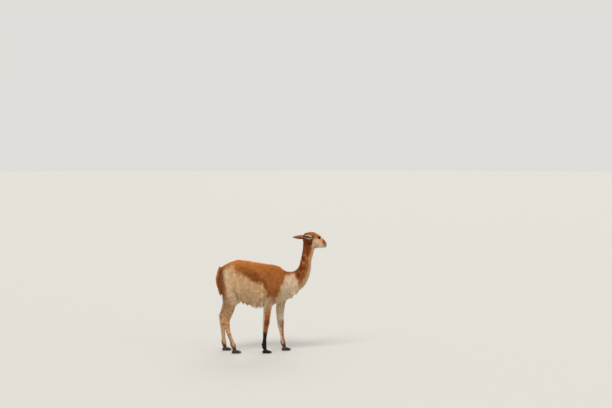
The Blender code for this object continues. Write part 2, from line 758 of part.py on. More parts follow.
def make_ear(side, splay, rise, work):
    """A rolled, pointed cup with a thin wall, its mouth turned out and, towards the tip, down."""
    axis = Vector((-math.cos(splay), side * math.sin(splay), math.tan(rise))).normalized()
    outward = Vector((math.sin(splay), side * math.cos(splay), EAR_FALL))
    outward = (outward - axis * outward.dot(axis)).normalized()
    root = mirrored(EAR_AT, side)
    shares, radii, arcs = zip(*EAR_PROFILE)
    points, faces = [], []
    for i in range(EAR_STEPS + 1):
        share = i / EAR_STEPS
        radius = np.interp(share, shares, radii)
        half_arc = math.radians(np.interp(share, shares, arcs))
        mouth = Matrix.Rotation(side * -EAR_TWIST * share, 3, axis) @ outward
        across = axis.cross(mouth)
        droop = Vector((0, 0, -EAR_CURVE * share**2))
        centre = root + axis * EAR_LENGTH * (share - EAR_IN_HEAD) + droop
        for j in range(EAR_SIDES + 1):
            angle = half_arc * (2 * j / EAR_SIDES - 1)
            spoke = across * math.sin(angle) - mouth * math.cos(angle) * EAR_FLATNESS
            points.append((centre + spoke * radius) * CM)
    for i in range(EAR_STEPS):
        for j in range(EAR_SIDES):
            a = i * (EAR_SIDES + 1) + j
            faces.append((a, a + 1, a + EAR_SIDES + 2, a + EAR_SIDES + 1))
    mesh = bpy.data.meshes.new("ear")
    mesh.from_pydata(points, [], faces)
    ear = bpy.data.objects.new("ear", mesh)
    work.objects.link(ear)
    wall = ear.modifiers.new("Wall", "SOLIDIFY")
    wall.thickness = EAR_WALL * CM
    wall.offset = 1 if side > 0 else -1
    return joined("ear", [applied(ear)], work)


# The coat's long locks, rooted in the flesh


def lie_along(normal, way):
    """The part of a direction that lies in the surface."""
    way = Vector(way)
    return (way - normal * way.dot(normal)).normalized()


def flank_locks(torso, draw):
    """Tiers of hanging locks on the belly, behind the elbows and round the chest."""
    tree = BVHTree.FromObject(torso, bpy.context.evaluated_depsgraph_get())
    roots = []
    for side in (-1, 1):
        for height, first, last, spacing, length, width in FLANK_TIERS:
            x = first + draw.uniform(0, spacing / 2)
            while x < last:
                start = (x, side * RAY_START, height + draw.uniform(-0.8, 0.8))
                roots.append((start, (0, -side, 0), length, width))
                x += spacing * draw.uniform(0.85, 1.15)
    for height, spread, count in CHEST_TIERS:
        for i in range(count):
            y = spread * (2 * i / (count - 1) - 1) + draw.uniform(-0.5, 0.5)
            roots.append(((RAY_START, y, height), (-1, 0, 0), CHEST_LENGTH, FLANK_TIERS[0][-1]))
    middle, spread, more = LOWEST_HAIR
    back, chance = LOCK_SWEEP
    pieces = new_collection("locks")
    for start, way, length, width in roots:
        place, normal, _, _ = tree.ray_cast(Vector(start) * CM, way)
        if place is not None:
            lie = lie_along(normal, (back + draw.uniform(-chance, chance), 0, -1))
            reach = length * (1 + more * math.exp(-(((start[0] - middle) / spread) ** 2)))
            size = (reach * draw.uniform(0.85, 1.15), width * draw.uniform(0.9, 1.1), LOCK_THICKNESS)
            lock(place, lie, normal, size, TRUNK_HANG, pieces)
    return pieces


def tail_locks(tail, draw):
    tree = BVHTree.FromObject(tail, bpy.context.evaluated_depsgraph_get())
    pieces = new_collection("tail_locks")
    path = smooth_rows(TAIL, SPAN_STEPS)
    for level, (x, z) in enumerate(path[SPAN_STEPS + 1 : -2 : SPAN_STEPS, :2]):
        for turn in TAIL_TURNS:
            angle = math.radians(turn + draw.uniform(-8, 8) + TAIL_STAGGER * (level % 2))
            place, normal = surface_point(tree, (x, 0, z), (-math.cos(angle), math.sin(angle), 0))
            if place is not None:
                lock(place, lie_along(normal, (0.05, 0, -1)), normal, TAIL_LOCK, TAIL_HANG, pieces)
    return pieces


def crown_locks(head, draw):
    """The woolly tuft between the ears, in the head's own frame."""
    tree = BVHTree.FromObject(head, bpy.context.evaluated_depsgraph_get())
    pieces = new_collection("crown_locks")
    for x, count, half in CROWN_ROWS:
        for i in range(count):
            y = half * (2 * i / (count - 1) - 1) + draw.uniform(-0.2, 0.2)
            place, normal = surface_point(tree, (x, y, 0), (0, 0, 1))
            lie = lie_along(normal, (1.0, y * 0.12, -0.1))
            lock(place, lie, normal, CROWN_LOCK, CROWN_HANG, pieces)
    return pieces


def make_tail(work):
    return tube("tail", [(x, 0, z, depth, width) for x, z, depth, width in TAIL], work, sides=12)


def centre_on_floor(parts):
    """Moves the finished pieces so that the origin is under the middle of their box."""
    points = np.vstack([[obj.matrix_world @ v.co for v in obj.data.vertices] for obj in parts.objects])
    low, high = points.min(0), points.max(0)
    shift = Vector((-(low[0] + high[0]) / 2, -(low[1] + high[1]) / 2, -low[2]))
    for obj in parts.objects:
        obj.data.transform(Matrix.Translation(shift))


def main():
    clear_scene()
    draw = random.Random(SEED)
    parts = new_collection("vicuna")
    work = new_collection("work")
    pieces = make_flesh(work, parts)
    torso = pieces["torso"]
    tail = make_tail(work)
    fuse(tail, tail_locks(tail, draw))
    fuse(torso, flank_locks(torso, draw))
    yield_to(torso, [pieces[name] for name in LEGS], work)
    yield_to(tail, [torso, pieces["hindleg_right"], pieces["hindleg_left"]], work)
    head = make_head(work)
    fuse(head, crown_locks(head, draw))
    eyes = {"eye_right": make_eye(-1, work), "eye_left": make_eye(1, work)}
    ears = {
        "ear_right": make_ear(-1, EAR_SPLAY[0], EAR_RISE[0], work),
        "ear_left": make_ear(1, EAR_SPLAY[1], EAR_RISE[1], work),
    }
    for ear in ears.values():
        yield_to(ear, [head], work)
    for obj in (head, *eyes.values(), *ears.values()):
        obj.data.transform(head_matrix())
    finish(torso, "torso", "body_coat", parts)
    finish(pieces["neck"], "neck", "neck_coat", parts)
    finish(tail, "tail", "tail_coat", parts)
    finish(head, "head", "face_coat", parts)
    for name, ear in ears.items():
        finish(ear, name, "ear_coat", parts)
    for name, eye in eyes.items():
        finish(eye, name, "eye", parts, 0.08)
    for name, rows in LEGS.items():
        finish(pieces[name], name, "leg_coat", parts)
        foot = make_foot(name + "_foot", rows, work)
        finish(foot, name + "_foot", "foot_skin", parts)
        for side in (-1, 1):
            nail = make_nail(name + "_nail", rows, side, work)
            yield_to(nail, [foot], work)
            word = "outer" if side * rows[0][1] > 0 else "inner"
            finish(nail, f"{name}_nail_{word}", "nail", parts, 0.4)
    centre_on_floor(parts)


main()
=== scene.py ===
import json
import math

import bmesh
import bpy
import numpy as np
from mathutils import Matrix, Vector
from mathutils.bvhtree import BVHTree

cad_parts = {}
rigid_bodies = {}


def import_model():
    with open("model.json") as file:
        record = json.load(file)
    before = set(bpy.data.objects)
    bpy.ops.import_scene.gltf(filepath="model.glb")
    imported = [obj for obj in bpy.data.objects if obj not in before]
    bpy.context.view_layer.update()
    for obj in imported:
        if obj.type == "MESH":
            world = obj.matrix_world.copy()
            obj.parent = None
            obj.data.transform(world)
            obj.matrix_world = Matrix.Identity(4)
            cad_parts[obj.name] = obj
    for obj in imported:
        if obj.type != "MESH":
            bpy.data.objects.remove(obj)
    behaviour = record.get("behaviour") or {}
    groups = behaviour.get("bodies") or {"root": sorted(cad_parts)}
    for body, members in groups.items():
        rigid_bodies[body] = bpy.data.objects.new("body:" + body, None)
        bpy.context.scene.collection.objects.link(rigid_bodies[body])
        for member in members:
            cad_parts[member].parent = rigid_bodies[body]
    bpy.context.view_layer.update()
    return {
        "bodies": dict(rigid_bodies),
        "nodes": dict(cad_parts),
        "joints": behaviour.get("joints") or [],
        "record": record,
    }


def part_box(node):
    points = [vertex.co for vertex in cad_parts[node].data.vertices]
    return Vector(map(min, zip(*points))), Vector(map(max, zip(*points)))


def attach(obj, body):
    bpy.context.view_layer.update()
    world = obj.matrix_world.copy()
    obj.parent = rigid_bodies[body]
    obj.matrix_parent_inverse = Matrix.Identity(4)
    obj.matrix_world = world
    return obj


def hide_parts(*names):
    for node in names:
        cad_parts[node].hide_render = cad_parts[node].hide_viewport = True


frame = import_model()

# A vicuna as a still, life-size model: one skin under a coat of small solid tufts, with its eyes, nails,
# lashes, whiskers and ear fringes as pieces of their own.
# The animal's own frame is in centimetres: x towards the head, y to its left, z up from the ground.
# Meshes are in metres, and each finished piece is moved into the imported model's frame at the end.

CM = 0.01
SIDES = {"right": -1, "left": 1}  # the animal's sides, and the sign of y there

# Trunk: x, top of the back, underside of the core, half width
TRUNK = (
    (-43.0, 82.0, 69.0, 3.5),
    (-42.2, 85.5, 63.5, 8.0),
    (-39.0, 89.6, 58.0, 12.6),
    (-32.0, 93.2, 54.5, 15.2),
    (-24.0, 95.0, 53.0, 16.2),
    (-15.0, 94.3, 51.6, 16.8),
    (-6.0, 92.7, 51.0, 17.2),
    (4.0, 91.2, 50.8, 17.0),
    (12.0, 89.8, 51.2, 16.0),
    (19.0, 87.2, 52.6, 14.4),
    (25.5, 81.8, 55.0, 12.2),
    (31.5, 76.0, 58.5, 9.6),
    (36.5, 71.5, 62.5, 5.6),
)
TRUNK_SQUARENESS = 2.25

# Neck and legs: x, y, z, half depth fore and aft, half width
NECK = (
    (20.0, 0, 70.0, 16.0, 11.0),
    (29.0, 0, 71.6, 12.6, 9.6),
    (36.6, 0, 75.6, 9.5, 7.7),
    (41.5, 0, 81.2, 7.4, 6.2),
    (44.1, 0, 88.0, 6.2, 5.3),
    (45.5, 0, 96.0, 5.6, 4.9),
    (47.3, 0, 104.0, 5.8, 4.9),
    (48.4, 0, 110.5, 6.2, 5.1),
    (49.4, 0, 115.5, 5.4, 4.8),
)
LEGS = {
    "foreleg_right": (
        (9.0, -7.5, 76.0, 6.0, 4.0),
        (10.5, -9.8, 67.0, 8.4, 5.0),
        (8.4, -10.2, 58.0, 6.9, 4.6),
        (6.4, -9.8, 51.0, 4.7, 3.6),
        (5.6, -9.4, 44.0, 4.0, 3.1),
        (5.0, -9.2, 37.5, 3.8, 2.8),
        (4.4, -9.2, 32.0, 3.8, 2.9),
        (3.8, -9.3, 27.0, 3.3, 2.5),
        (3.3, -9.4, 21.0, 2.5, 1.9),
        (2.8, -9.5, 15.0, 2.0, 1.7),
        (2.4, -9.6, 9.5, 2.3, 1.95),
        (2.3, -9.6, 7.0, 2.35, 2.1),
    ),
    "foreleg_left": (
        (13.0, 7.5, 76.0, 6.0, 4.0),
        (15.5, 9.8, 67.0, 8.4, 5.0),
        (17.6, 10.2, 58.0, 6.9, 4.6),
        (19.0, 9.8, 51.0, 4.9, 3.6),
        (18.4, 9.4, 44.0, 4.3, 3.1),
        (18.2, 9.2, 37.5, 4.0, 2.8),
        (18.6, 9.2, 31.5, 3.7, 2.9),
        (19.0, 9.3, 26.0, 3.3, 2.4),
        (19.7, 9.4, 20.0, 2.5, 1.9),
        (20.4, 9.5, 14.5, 2.1, 1.7),
        (21.1, 9.6, 9.5, 2.3, 1.95),
        (21.6, 9.6, 7.0, 2.35, 2.1),
    ),
    "hindleg_right": (
        (-27.0, -8.0, 84.0, 9.0, 5.0),
        (-29.5, -10.0, 74.0, 12.2, 6.6),
        (-30.0, -10.6, 65.0, 11.6, 6.8),
        (-31.0, -10.4, 57.0, 8.8, 5.8),
        (-32.9, -10.0, 50.0, 6.4, 4.6),
        (-34.0, -9.8, 43.5, 5.1, 3.7),
        (-35.7, -9.8, 37.0, 4.0, 3.0),
        (-36.2, -9.8, 33.0, 3.5, 2.8),
        (-35.6, -9.9, 27.5, 2.9, 2.3),
        (-33.9, -10.0, 20.5, 2.3, 1.9),
        (-31.4, -10.1, 13.5, 2.05, 1.75),
        (-29.9, -10.2, 9.5, 2.25, 1.95),
        (-29.0, -10.2, 7.0, 2.35, 2.1),
    ),
    "hindleg_left": (
        (-28.0, 8.0, 84.0, 9.0, 5.0),
        (-31.0, 10.0, 74.0, 11.6, 6.6),
        (-32.6, 10.6, 65.0, 10.8, 6.8),
        (-33.7, 10.4, 57.0, 8.3, 5.8),
        (-35.9, 10.0, 48.5, 5.7, 4.4),
        (-38.9, 9.8, 41.0, 4.3, 3.5),
        (-41.0, 9.8, 36.0, 3.8, 3.0),
        (-41.4, 9.8, 32.5, 3.6, 2.8),
        (-41.3, 9.9, 27.0, 3.0, 2.3),
        (-41.0, 10.0, 20.5, 2.4, 1.9),
        (-40.6, 10.1, 13.5, 2.15, 1.75),
        (-40.1, 10.2, 9.5, 2.25, 1.95),
        (-40.0, 10.2, 7.0, 2.35, 2.1),
    ),
}
JOINT_ROW = 6  # the row of a leg's table at its knee, or just above its hock
HOCK_POINT = (-2.4, 0, 3.6)  # from the hock's row: forward, sideways, up
HOCK_RADIUS = 1.7
NECK_CUT = ((36.5, 0, 73.5), (0.72, 0, 0.69))  # a point between trunk and neck, and the way on from there
TAIL = (  # x, z, half depth, half width of the tail with its hair
    (-40.0, 87.2, 2.6, 3.0),
    (-43.6, 84.6, 2.3, 3.0),
    (-45.0, 79.5, 1.9, 2.8),
    (-45.1, 73.5, 1.7, 2.5),
    (-44.3, 67.5, 1.3, 2.0),
    (-43.2, 62.5, 0.6, 1.0),
)
TAIL_HAIR = (0.9, 1.2)  # how deep the tail's skin lies in that, fore and aft and at its sides
TAIL_CORE = (0.4, 0.5)  # the least that is left of it

# Feet, forward from the fetlock
PASTERN = (  # x, height, radius
    (0.0, 10.5, 2.0),
    (0.0, 8.0, 2.2),
    (0.3, 5.6, 2.1),
    (1.1, 3.6, 1.75),
    (1.6, 2.6, 1.4),
)
TOE = (  # x, height, half height, half width
    (-1.9, 1.7, 0.6, 0.6),
    (-1.3, 1.55, 1.3, 1.15),
    (0.4, 1.5, 1.55, 1.35),
    (2.4, 1.6, 1.7, 1.42),
    (4.3, 1.4, 1.5, 1.36),
    (5.7, 1.15, 1.15, 1.1),
    (6.4, 1.0, 0.5, 0.6),
)
TOE_SPREAD = (1.1, 1.75)  # half the space between the toes' middles, at the heel and the tip
NAIL = (  # x, height, radius
    (4.1, 1.8, 0.5),
    (4.6, 1.9, 0.84),
    (5.6, 1.8, 0.86),
    (6.5, 1.5, 0.72),
    (7.3, 1.05, 0.45),
    (7.85, 0.62, 0.14),
)

# Head, in its own frame: x towards the nose from the middle of the skull, z up
HEAD_AT = (50.5, 0, 116.2)
HEAD_PITCH = math.radians(12)
HEAD_YAW = math.radians(25)
SKULL = (  # x, top, bottom, half width
    (-8.5, 2.4, -3.0, 1.7),
    (-7.6, 5.2, -5.2, 3.7),
    (-5.0, 7.0, -6.8, 4.8),
    (-2.0, 7.7, -7.9, 5.2),
    (1.0, 7.9, -8.6, 5.1),
    (3.8, 7.5, -8.7, 4.7),
    (6.2, 6.6, -8.3, 4.2),
    (8.6, 5.4, -7.7, 3.7),
    (11.0, 4.3, -7.2, 3.2),
    (13.4, 3.1, -6.7, 2.8),
    (15.4, 1.6, -6.1, 2.6),
    (17.1, -0.4, -5.4, 2.2),
    (18.0, -2.0, -4.6, 1.2),
)
HEAD_FORMS = (  # jaw, cheek, nose, chin, ear base, brow: a place and three radii, on both sides
    ((1.2, 3.2, -4.0), (4.2, 1.8, 4.0)),
    ((5.2, 2.7, -3.4), (4.4, 1.7, 3.2)),
    ((15.7, 1.1, -2.0), (2.1, 1.3, 1.8)),
    ((14.8, 0.8, -5.0), (2.0, 1.5, 1.1)),
    ((-2.6, 3.5, 1.6), (2.4, 1.7, 2.2)),
    ((6.3, 2.5, 4.4), (2.7, 1.5, 1.5)),
)
EYE_AT = (6.5, 2.8, 3.1)
EYE_RADIUS = 1.62
EYE_LOOK = Vector((0.34, 0.93, 0.12)).normalized()
EYE_OPENING = (1.42, 0.86)  # half length and half height of the gap between the lids
EYE_TILT = 0.3  # how far the eye's front corner is under its back one
LID = 0.26  # thickness
EAR_AT = (-2.4, 4.3, 1.6)
EAR_LENGTH = 17.0
EAR_IN_HEAD = 0.12  # the share of an ear that is inside the head
EAR_WALL = 0.24
EAR_INSET = 0.1  # how far the middle of that wall lies under the solids' surface
EAR_FLATNESS = 0.85  # the roll's depth, as a share of its width
EAR_FALL = -0.2  # how far the mouth of an ear turns down
EAR_SPLAY = (math.radians(32), math.radians(25))  # of the near and the far ear, out from straight back
EAR_RISE = (math.radians(0), math.radians(-9))
EAR_PROFILE = (  # share of the length, radius, half of the arc that the roll covers
    (0, 1.3, 170),
    (0.14, 1.7, 165),
    (0.34, 2.05, 150),
    (0.55, 2.0, 140),
    (0.76, 1.5, 125),
    (0.91, 0.85, 105),
    (1, 0.24, 90),
)
EAR_TWIST = math.radians(24)
EAR_CURVE = 0.6  # how far the tip droops
EAR_STEPS, EAR_SIDES = 30, 26
MOUTH_CENTRE = (15.0, -3.9)  # x and z of the middle of the front of the mouth
MOUTH_FRONT, MOUTH_BACK = 0.56, 0.44  # the shares of the lips round the front and back along the side
MOUTH_LENGTH = 4.6
MOUTH_SAG = -0.25
MOUTH_LIFT = 0.5
NOSTRIL = ((17.35, 0.75, -1.75), (17.0, 1.2, -1.6), (16.5, 1.65, -1.8), (16.1, 1.95, -2.3))
NOSTRIL_AXIS = 12  # the x that a nostril's points are seen from
SPLIT = (-2.3, -2.7, -3.2, -3.8)  # heights of the split in the upper lip
GROOVES = {"nostril": 0.19, "lips": 0.11, "split": 0.09}  # radii
NAPE_CUT = (Vector((48.4, 0, 109.4)), Vector((0.36, 0, 0.93)).normalized())
NAPE_OVERLAP = 1.6  # how far head and body reach past that cut, to be joined there

# How deep the skin lies under the tips of the coat
TRUNK_COAT, NECK_COAT, LEG_COAT, FOOT_COAT, FACE_COAT, CROWN_COAT = 1.5, 0.75, 0.28, 0.08, 0.18, 0.85
FOLD_DEPTH = 1.6

# How fine the skin is
BODY_VOXEL, HEAD_VOXEL = 0.3 * CM, 0.14 * CM
BODY_FACES, HEAD_FACES = 96000, 54000


# Numbers along tables and over the surface


def smooth_rows(rows, per_span):
    """Catmull-Rom samples through the rows of a table."""
    table = np.array(rows, float)
    ends = np.vstack([2 * table[0] - table[1], table, 2 * table[-1] - table[-2]])
    samples = []
    for i in range(len(table) - 1):
        a, b, c, d = ends[i : i + 4]
        for t in np.arange(per_span) / per_span:
            curve = (2 * a - 5 * b + 4 * c - d) * t**2 + (3 * b - a - 3 * c + d) * t**3
            samples.append((2 * b + (c - a) * t + curve) / 2)
    samples.append(table[-1])
    return np.array(samples)


def unit(vectors):
    return vectors / np.maximum(np.linalg.norm(vectors, axis=-1, keepdims=True), 1e-9)


def dot(a, b):
    return (a * b).sum(-1)


def ease(low, high, values):
    """From 0 at low to 1 at high, without corners. low may be the larger."""
    t = np.clip((values - low) / (high - low), 0, 1)
    return t * t * (3 - 2 * t)


def bump(values, middle, spread):
    return np.exp(-(((values - middle) / spread) ** 2))


def ripple(points, wavelength, seed, waves=20):
    """Soft noise, mostly between -2 and 2, the same for the skin and for the tufts on it."""
    draw = np.random.default_rng(seed)
    ways = unit(draw.normal(size=(waves, 3)))
    ways = ways * draw.uniform(0.6, 1.5, (waves, 1)) * 2 * math.pi / wavelength
    total = np.sin(points @ ways.T + draw.uniform(0, 2 * math.pi, waves)).sum(1)
    return total / math.sqrt(waves / 2)


def swirled(points, wavelength, seed):
    """Soft noise in three directions."""
    return np.column_stack([ripple(points, wavelength, seed + i) for i in range(3)])


def blob(points, centre, radii):
    """1 at a centre, fading past the radii of an oval round it."""
    return np.exp(-(((points - np.array(centre)) / np.array(radii)) ** 2).sum(axis=1))


def read_off(table, values):
    """Values looked up in a table of pairs."""
    return np.interp(values, *np.array(table).T)


def beyond(points, plane):
    """How far points are past a plane, given by a point and its normal."""
    return (points - np.array(plane[0])) @ unit(np.array(plane[1]))


class Path:
    """The middle line of a limb, with its radius, for asking how near points are to it."""

    def __init__(self, rows):
        samples = smooth_rows(rows, 4)
        self.places, self.radii = samples[:, :3], samples[:, 3:].mean(1)
        self.ways = unit(np.gradient(self.places, axis=0))

    def near(self, points):
        """For each point, the index of the nearest sample and the distance as a share of its radius."""
        far = np.linalg.norm(points[:, None] - self.places[None], axis=2)
        index = far.argmin(1)
        return index, far[np.arange(len(points)), index] / self.radii[index]


NECK_PATH = Path(NECK[1:])
LEG_PATHS = {name: Path(rows[2:]) for name, rows in LEGS.items()}
TAIL_PATH = Path([(x, 0, z, depth, width) for x, z, depth, width in TAIL])


def neck_share(points):
    """From 0 on the trunk to 1 on the neck."""
    return ease(-9, 7, beyond(points, NECK_CUT))


def leg_share(points):
    """From 0 on the trunk to 1 on the legs."""
    near = np.min([path.near(points)[1] for path in LEG_PATHS.values()], axis=0)
    return np.maximum(ease(2.0, 1.2, near) * ease(62, 44, points[:, 2]), ease(48, 44, points[:, 2]))


def tail_share(points):
    return ease(1.6, 1.1, TAIL_PATH.near(points)[1]) * ease(-41.5, -43.5, points[:, 0])


def above_nape(points):
    """How far points are past the cut between neck and head."""
    return (points - np.array(NAPE_CUT[0])) @ np.array(NAPE_CUT[1])


def head_matrix():
    turn = Matrix.Rotation(HEAD_YAW, 4, "Z") @ Matrix.Rotation(HEAD_PITCH, 4, "Y")
    return Matrix.Translation(Vector(HEAD_AT) * CM) @ turn


HEAD_TURN = np.array(head_matrix().to_3x3())


def to_head(points):
    """Points of the animal's frame in the head's own frame."""
    return (points - np.array(HEAD_AT)) @ HEAD_TURN


def from_head(points):
    """Points of the head's own frame in the animal's frame."""
    return points @ HEAD_TURN.T + HEAD_AT


def mirrored(point, side):
    return Vector((point[0], point[1] * side, point[2]))


def eye_turn(side):
    """The eye's frame: x along the gap between the lids, y up it, z out of the eye."""
    look = mirrored(EYE_LOOK, side)
    along = Vector((1, 0, EYE_TILT)).cross(look).cross(look) * -1
    along.normalize()
    return Matrix((along, look.cross(along), look)).transposed()


def to_eye(points, side):
    """Points of the head's frame in an eye's frame."""
    return (points - np.array(mirrored(EYE_AT, side))) @ np.array(eye_turn(side))


def lid_oval(lids, end, edge):
    """How far points of an eye's frame are from its middle: 1 on its opening, grown by end and edge."""
    return np.hypot(lids[:, 0] / (EYE_OPENING[0] + end), lids[:, 1] / (EYE_OPENING[1] + edge))


# Meshes


def linked(name, data):
    """A new object in the scene."""
    obj = bpy.data.objects.new(name, data)
    bpy.context.scene.collection.objects.link(obj)
    return obj


def tree_of(obj):
    return BVHTree.FromObject(obj, bpy.context.evaluated_depsgraph_get())


def read(items, key, width, kind=float):
    """A number or vector of every item of a mesh, as rows."""
    values = np.empty(len(items) * width, kind)
    items.foreach_get(key, values)
    return values.reshape(-1, width)


def new_object(name, points, faces):
    """points in centimetres."""
    mesh = bpy.data.meshes.new(name)
    mesh.from_pydata((np.array(points) * CM).tolist(), [], faces)
    work = bmesh.new()
    work.from_mesh(mesh)
    bmesh.ops.recalc_face_normals(work, faces=work.faces)
    if work.calc_volume(signed=True) < 0:
        bmesh.ops.reverse_faces(work, faces=work.faces)
    work.to_mesh(mesh)
    work.free()
    return linked(name, mesh)


def ring(centre, up, side, half_up, half_side, count, squareness=2.0):
    """A superellipse about centre, in the plane of up and side."""
    angles = np.arange(count) * 2 * math.pi / count
    c, s = np.cos(angles), np.sin(angles)
    power = 2 / squareness
    across = np.sign(c) * np.abs(c) ** power * half_side
    along = np.sign(s) * np.abs(s) ** power * half_up
    return np.array(centre) + np.outer(across, side) + np.outer(along, up)


def loft(rings):
    """The points and faces of a closed skin over rings of equal length."""
    count = len(rings[0])
    faces = []
    for i in range(len(rings) - 1):
        for j in range(count):
            k = (j + 1) % count
            faces.append((i * count + j, i * count + k, (i + 1) * count + k, (i + 1) * count + j))
    faces.append(tuple(reversed(range(count))))
    faces.append(tuple((len(rings) - 1) * count + j for j in range(count)))
    return np.vstack(rings), faces


def trunk_loft(rows, squareness, sides=48):
    rings = []
    for x, top, bottom, half_width in smooth_rows(rows, 6):
        centre = (x, 0, (top + bottom) / 2)
        rings.append(ring(centre, (0, 0, 1), (0, 1, 0), (top - bottom) / 2, half_width, sides, squareness))
    return loft(rings)


def tube(rows, sides=32, per_span=6):
    samples = smooth_rows(rows, per_span)
    path = samples[:, :3]
    rings = []
    for centre, way, (depth, width) in zip(path, unit(np.gradient(path, axis=0)), samples[:, 3:]):
        side = unit(np.array((0, 1, 0)) - way * way[1])
        rings.append(ring(centre, np.cross(way, side), side, depth, width, sides))
    return loft(rings)


def cord_form(path, radius, sides=10, fall=0.45):
    """A closed round tube through points, thinner at its ends, for a groove or a ridge."""
    path = np.array(path)
    rings = []
    for i, (centre, way) in enumerate(zip(path, unit(np.gradient(path, axis=0)))):
        side = unit(np.cross(way, (0, 0.1, 1.0)))
        size = radius * (fall if i in (0, len(path) - 1) else 1)
        rings.append(ring(centre, np.cross(side, way), side, size, size, sides))
    return loft(rings)


def ball(centre, radii, turn=None, segments=28):
    work = bmesh.new()
    bmesh.ops.create_uvsphere(work, u_segments=segments, v_segments=segments // 2, radius=1)
    points = np.array([v.co for v in work.verts]) * radii
    # Sorted, because their order can change from run to run, and with it the places of the tufts.
    faces = sorted(tuple(v.index for v in face.verts) for face in work.faces)
    work.free()
    if turn is not None:
        points = points @ np.array(turn).T
    return points + np.array(centre), faces


def joined(forms):
    """One set of points and faces from several."""
    points, faces, start = [], [], 0
    for form_points, form_faces in forms:
        points.append(form_points)
        faces += [tuple(i + start for i in face) for face in form_faces]
        start += len(form_points)
    return np.vstack(points), faces


def applied(obj):
    bpy.context.view_layer.update()
    graph = bpy.context.evaluated_depsgraph_get()
    mesh = bpy.data.meshes.new_from_object(obj.evaluated_get(graph))
    obj.modifiers.clear()
    obj.data = mesh
    return obj


def melted(name, forms, voxel, rounds):
    """One smooth closed skin round overlapping forms."""
    obj = new_object(name, *joined(forms))
    remesh = obj.modifiers.new("Remesh", "REMESH")
    remesh.mode = "VOXEL"
    remesh.voxel_size = voxel
    smooth = obj.modifiers.new("Smooth", "SMOOTH")
    smooth.factor = 0.5
    smooth.iterations = rounds
    return applied(obj)


def thinned(obj, triangles):
    thin = obj.modifiers.new("Decimate", "DECIMATE")
    thin.ratio = min(1.0, triangles / sum(len(p.vertices) - 2 for p in obj.data.polygons))
    return applied(obj)


def boolean(obj, other, operation):
    """Joins or cuts with another closed object, which is removed."""
    change = obj.modifiers.new(operation.title(), "BOOLEAN")
    change.operation = operation
    change.solver = "MANIFOLD"
    change.object = other
    applied(obj)
    bpy.data.objects.remove(other)
    return obj


def points_of(mesh):
    """A mesh's points in centimetres and its normals."""
    return read(mesh.vertices, "co", 3) / CM, read(mesh.vertex_normals, "vector", 3)


def set_points(mesh, points):
    mesh.vertices.foreach_set("co", (points * CM).ravel())
    mesh.update()


def pressed_in(obj, depth):
    """Moves the surface in by a depth worked out from its points."""
    points, normals = points_of(obj.data)
    set_points(obj.data, points - normals * depth(points)[:, None])


def seam_smoothed(obj, weights, rounds):
    """Evens out the surface where the weights say."""
    points, _ = points_of(obj.data)
    a, b = read(obj.data.edges, "vertices", 2, int).T
    count = np.bincount(a, minlength=len(points)) + np.bincount(b, minlength=len(points))
    weights = weights(points)[:, None]
    for _ in range(rounds):
        total = np.zeros_like(points)
        for axis in range(3):
            total[:, axis] = np.bincount(a, points[b, axis], len(points))
            total[:, axis] += np.bincount(b, points[a, axis], len(points))
        points += (total / np.maximum(count, 1)[:, None] - points) * weights * 0.5
    set_points(obj.data, points)


# The skin: body, head and ears, then one closed surface of them all


def toe_middle(dx):
    return np.interp(dx, (TOE[0][0], TOE[-1][0]), TOE_SPREAD)


def foot_forms(rows):
    x, y = rows[-1][:2]
    forms = [tube([(x + dx, y, z, radius, radius) for dx, z, radius in PASTERN], 24)]
    for side in (-1, 1):
        rings = []
        for dx, z, up, wide in smooth_rows(TOE, 6):
            centre = (x + dx, y + side * toe_middle(dx), z)
            rings.append(ring(centre, (0, 0, 1), (0, 1, 0), up, wide, 24, 2.3))
        forms.append(loft(rings))
    return forms


def joint_forms(name, rows):
    """The knobs of bone at the knee or hock, and over the fetlock."""
    forms = []
    if name.startswith("hind"):
        hock = Vector(rows[JOINT_ROW + 1][:3]) + Vector(HOCK_POINT)
        for at in (hock, (Vector(rows[JOINT_ROW][:3]) + hock) / 2):
            forms.append(ball(at, (HOCK_RADIUS, HOCK_RADIUS * 0.8, HOCK_RADIUS * 1.5)))
    else:
        x, y, z, depth, width = rows[JOINT_ROW]
        forms.append(ball((x + 0.4, y, z), (depth * 0.95, width * 0.98, 3.0)))
    x, y, z, depth, width = rows[-2]
    forms.append(ball((x - 0.25, y, z - 0.4), (depth + 0.2, width + 0.05, 2.0)))
    return forms


def body_depth(points):
    """How deep the body's skin lies under the solids' surface."""
    leg, neck = leg_share(points), neck_share(points)
    depth = TRUNK_COAT * (1 - neck) + NECK_COAT * neck
    depth = depth * (1 - leg) + LEG_COAT * leg
    low = ease(15, 8, points[:, 2])
    depth = depth * (1 - low) + FOOT_COAT * low
    depth *= 1 - tail_share(points)
    depth += flank_fold(points) * FOLD_DEPTH
    return depth + ease(0, 1.5, above_nape(points)) * 0.6


def make_body():
    skull, faces = trunk_loft(SKULL, 2.0, 32)
    forms = [trunk_loft(TRUNK, TRUNK_SQUARENESS), tube(NECK), (from_head(skull), faces)]
    core = [(x, 0, z, *np.maximum(np.subtract(sizes, TAIL_HAIR), TAIL_CORE)) for x, z, *sizes in TAIL]
    forms.append(tube(core, 20))
    for name, rows in LEGS.items():
        forms += [tube(rows), *joint_forms(name, rows), *foot_forms(rows)]
    body = melted("body", forms, BODY_VOXEL, 8)
    pressed_in(body, body_depth)
    cut_away(body, NAPE_CUT[0] + NAPE_CUT[1] * NAPE_OVERLAP, NAPE_CUT[1])
    cut_away(body, Vector((0, 0, 0.03)), Vector((0, 0, -1)))
    return thinned(body, BODY_FACES)


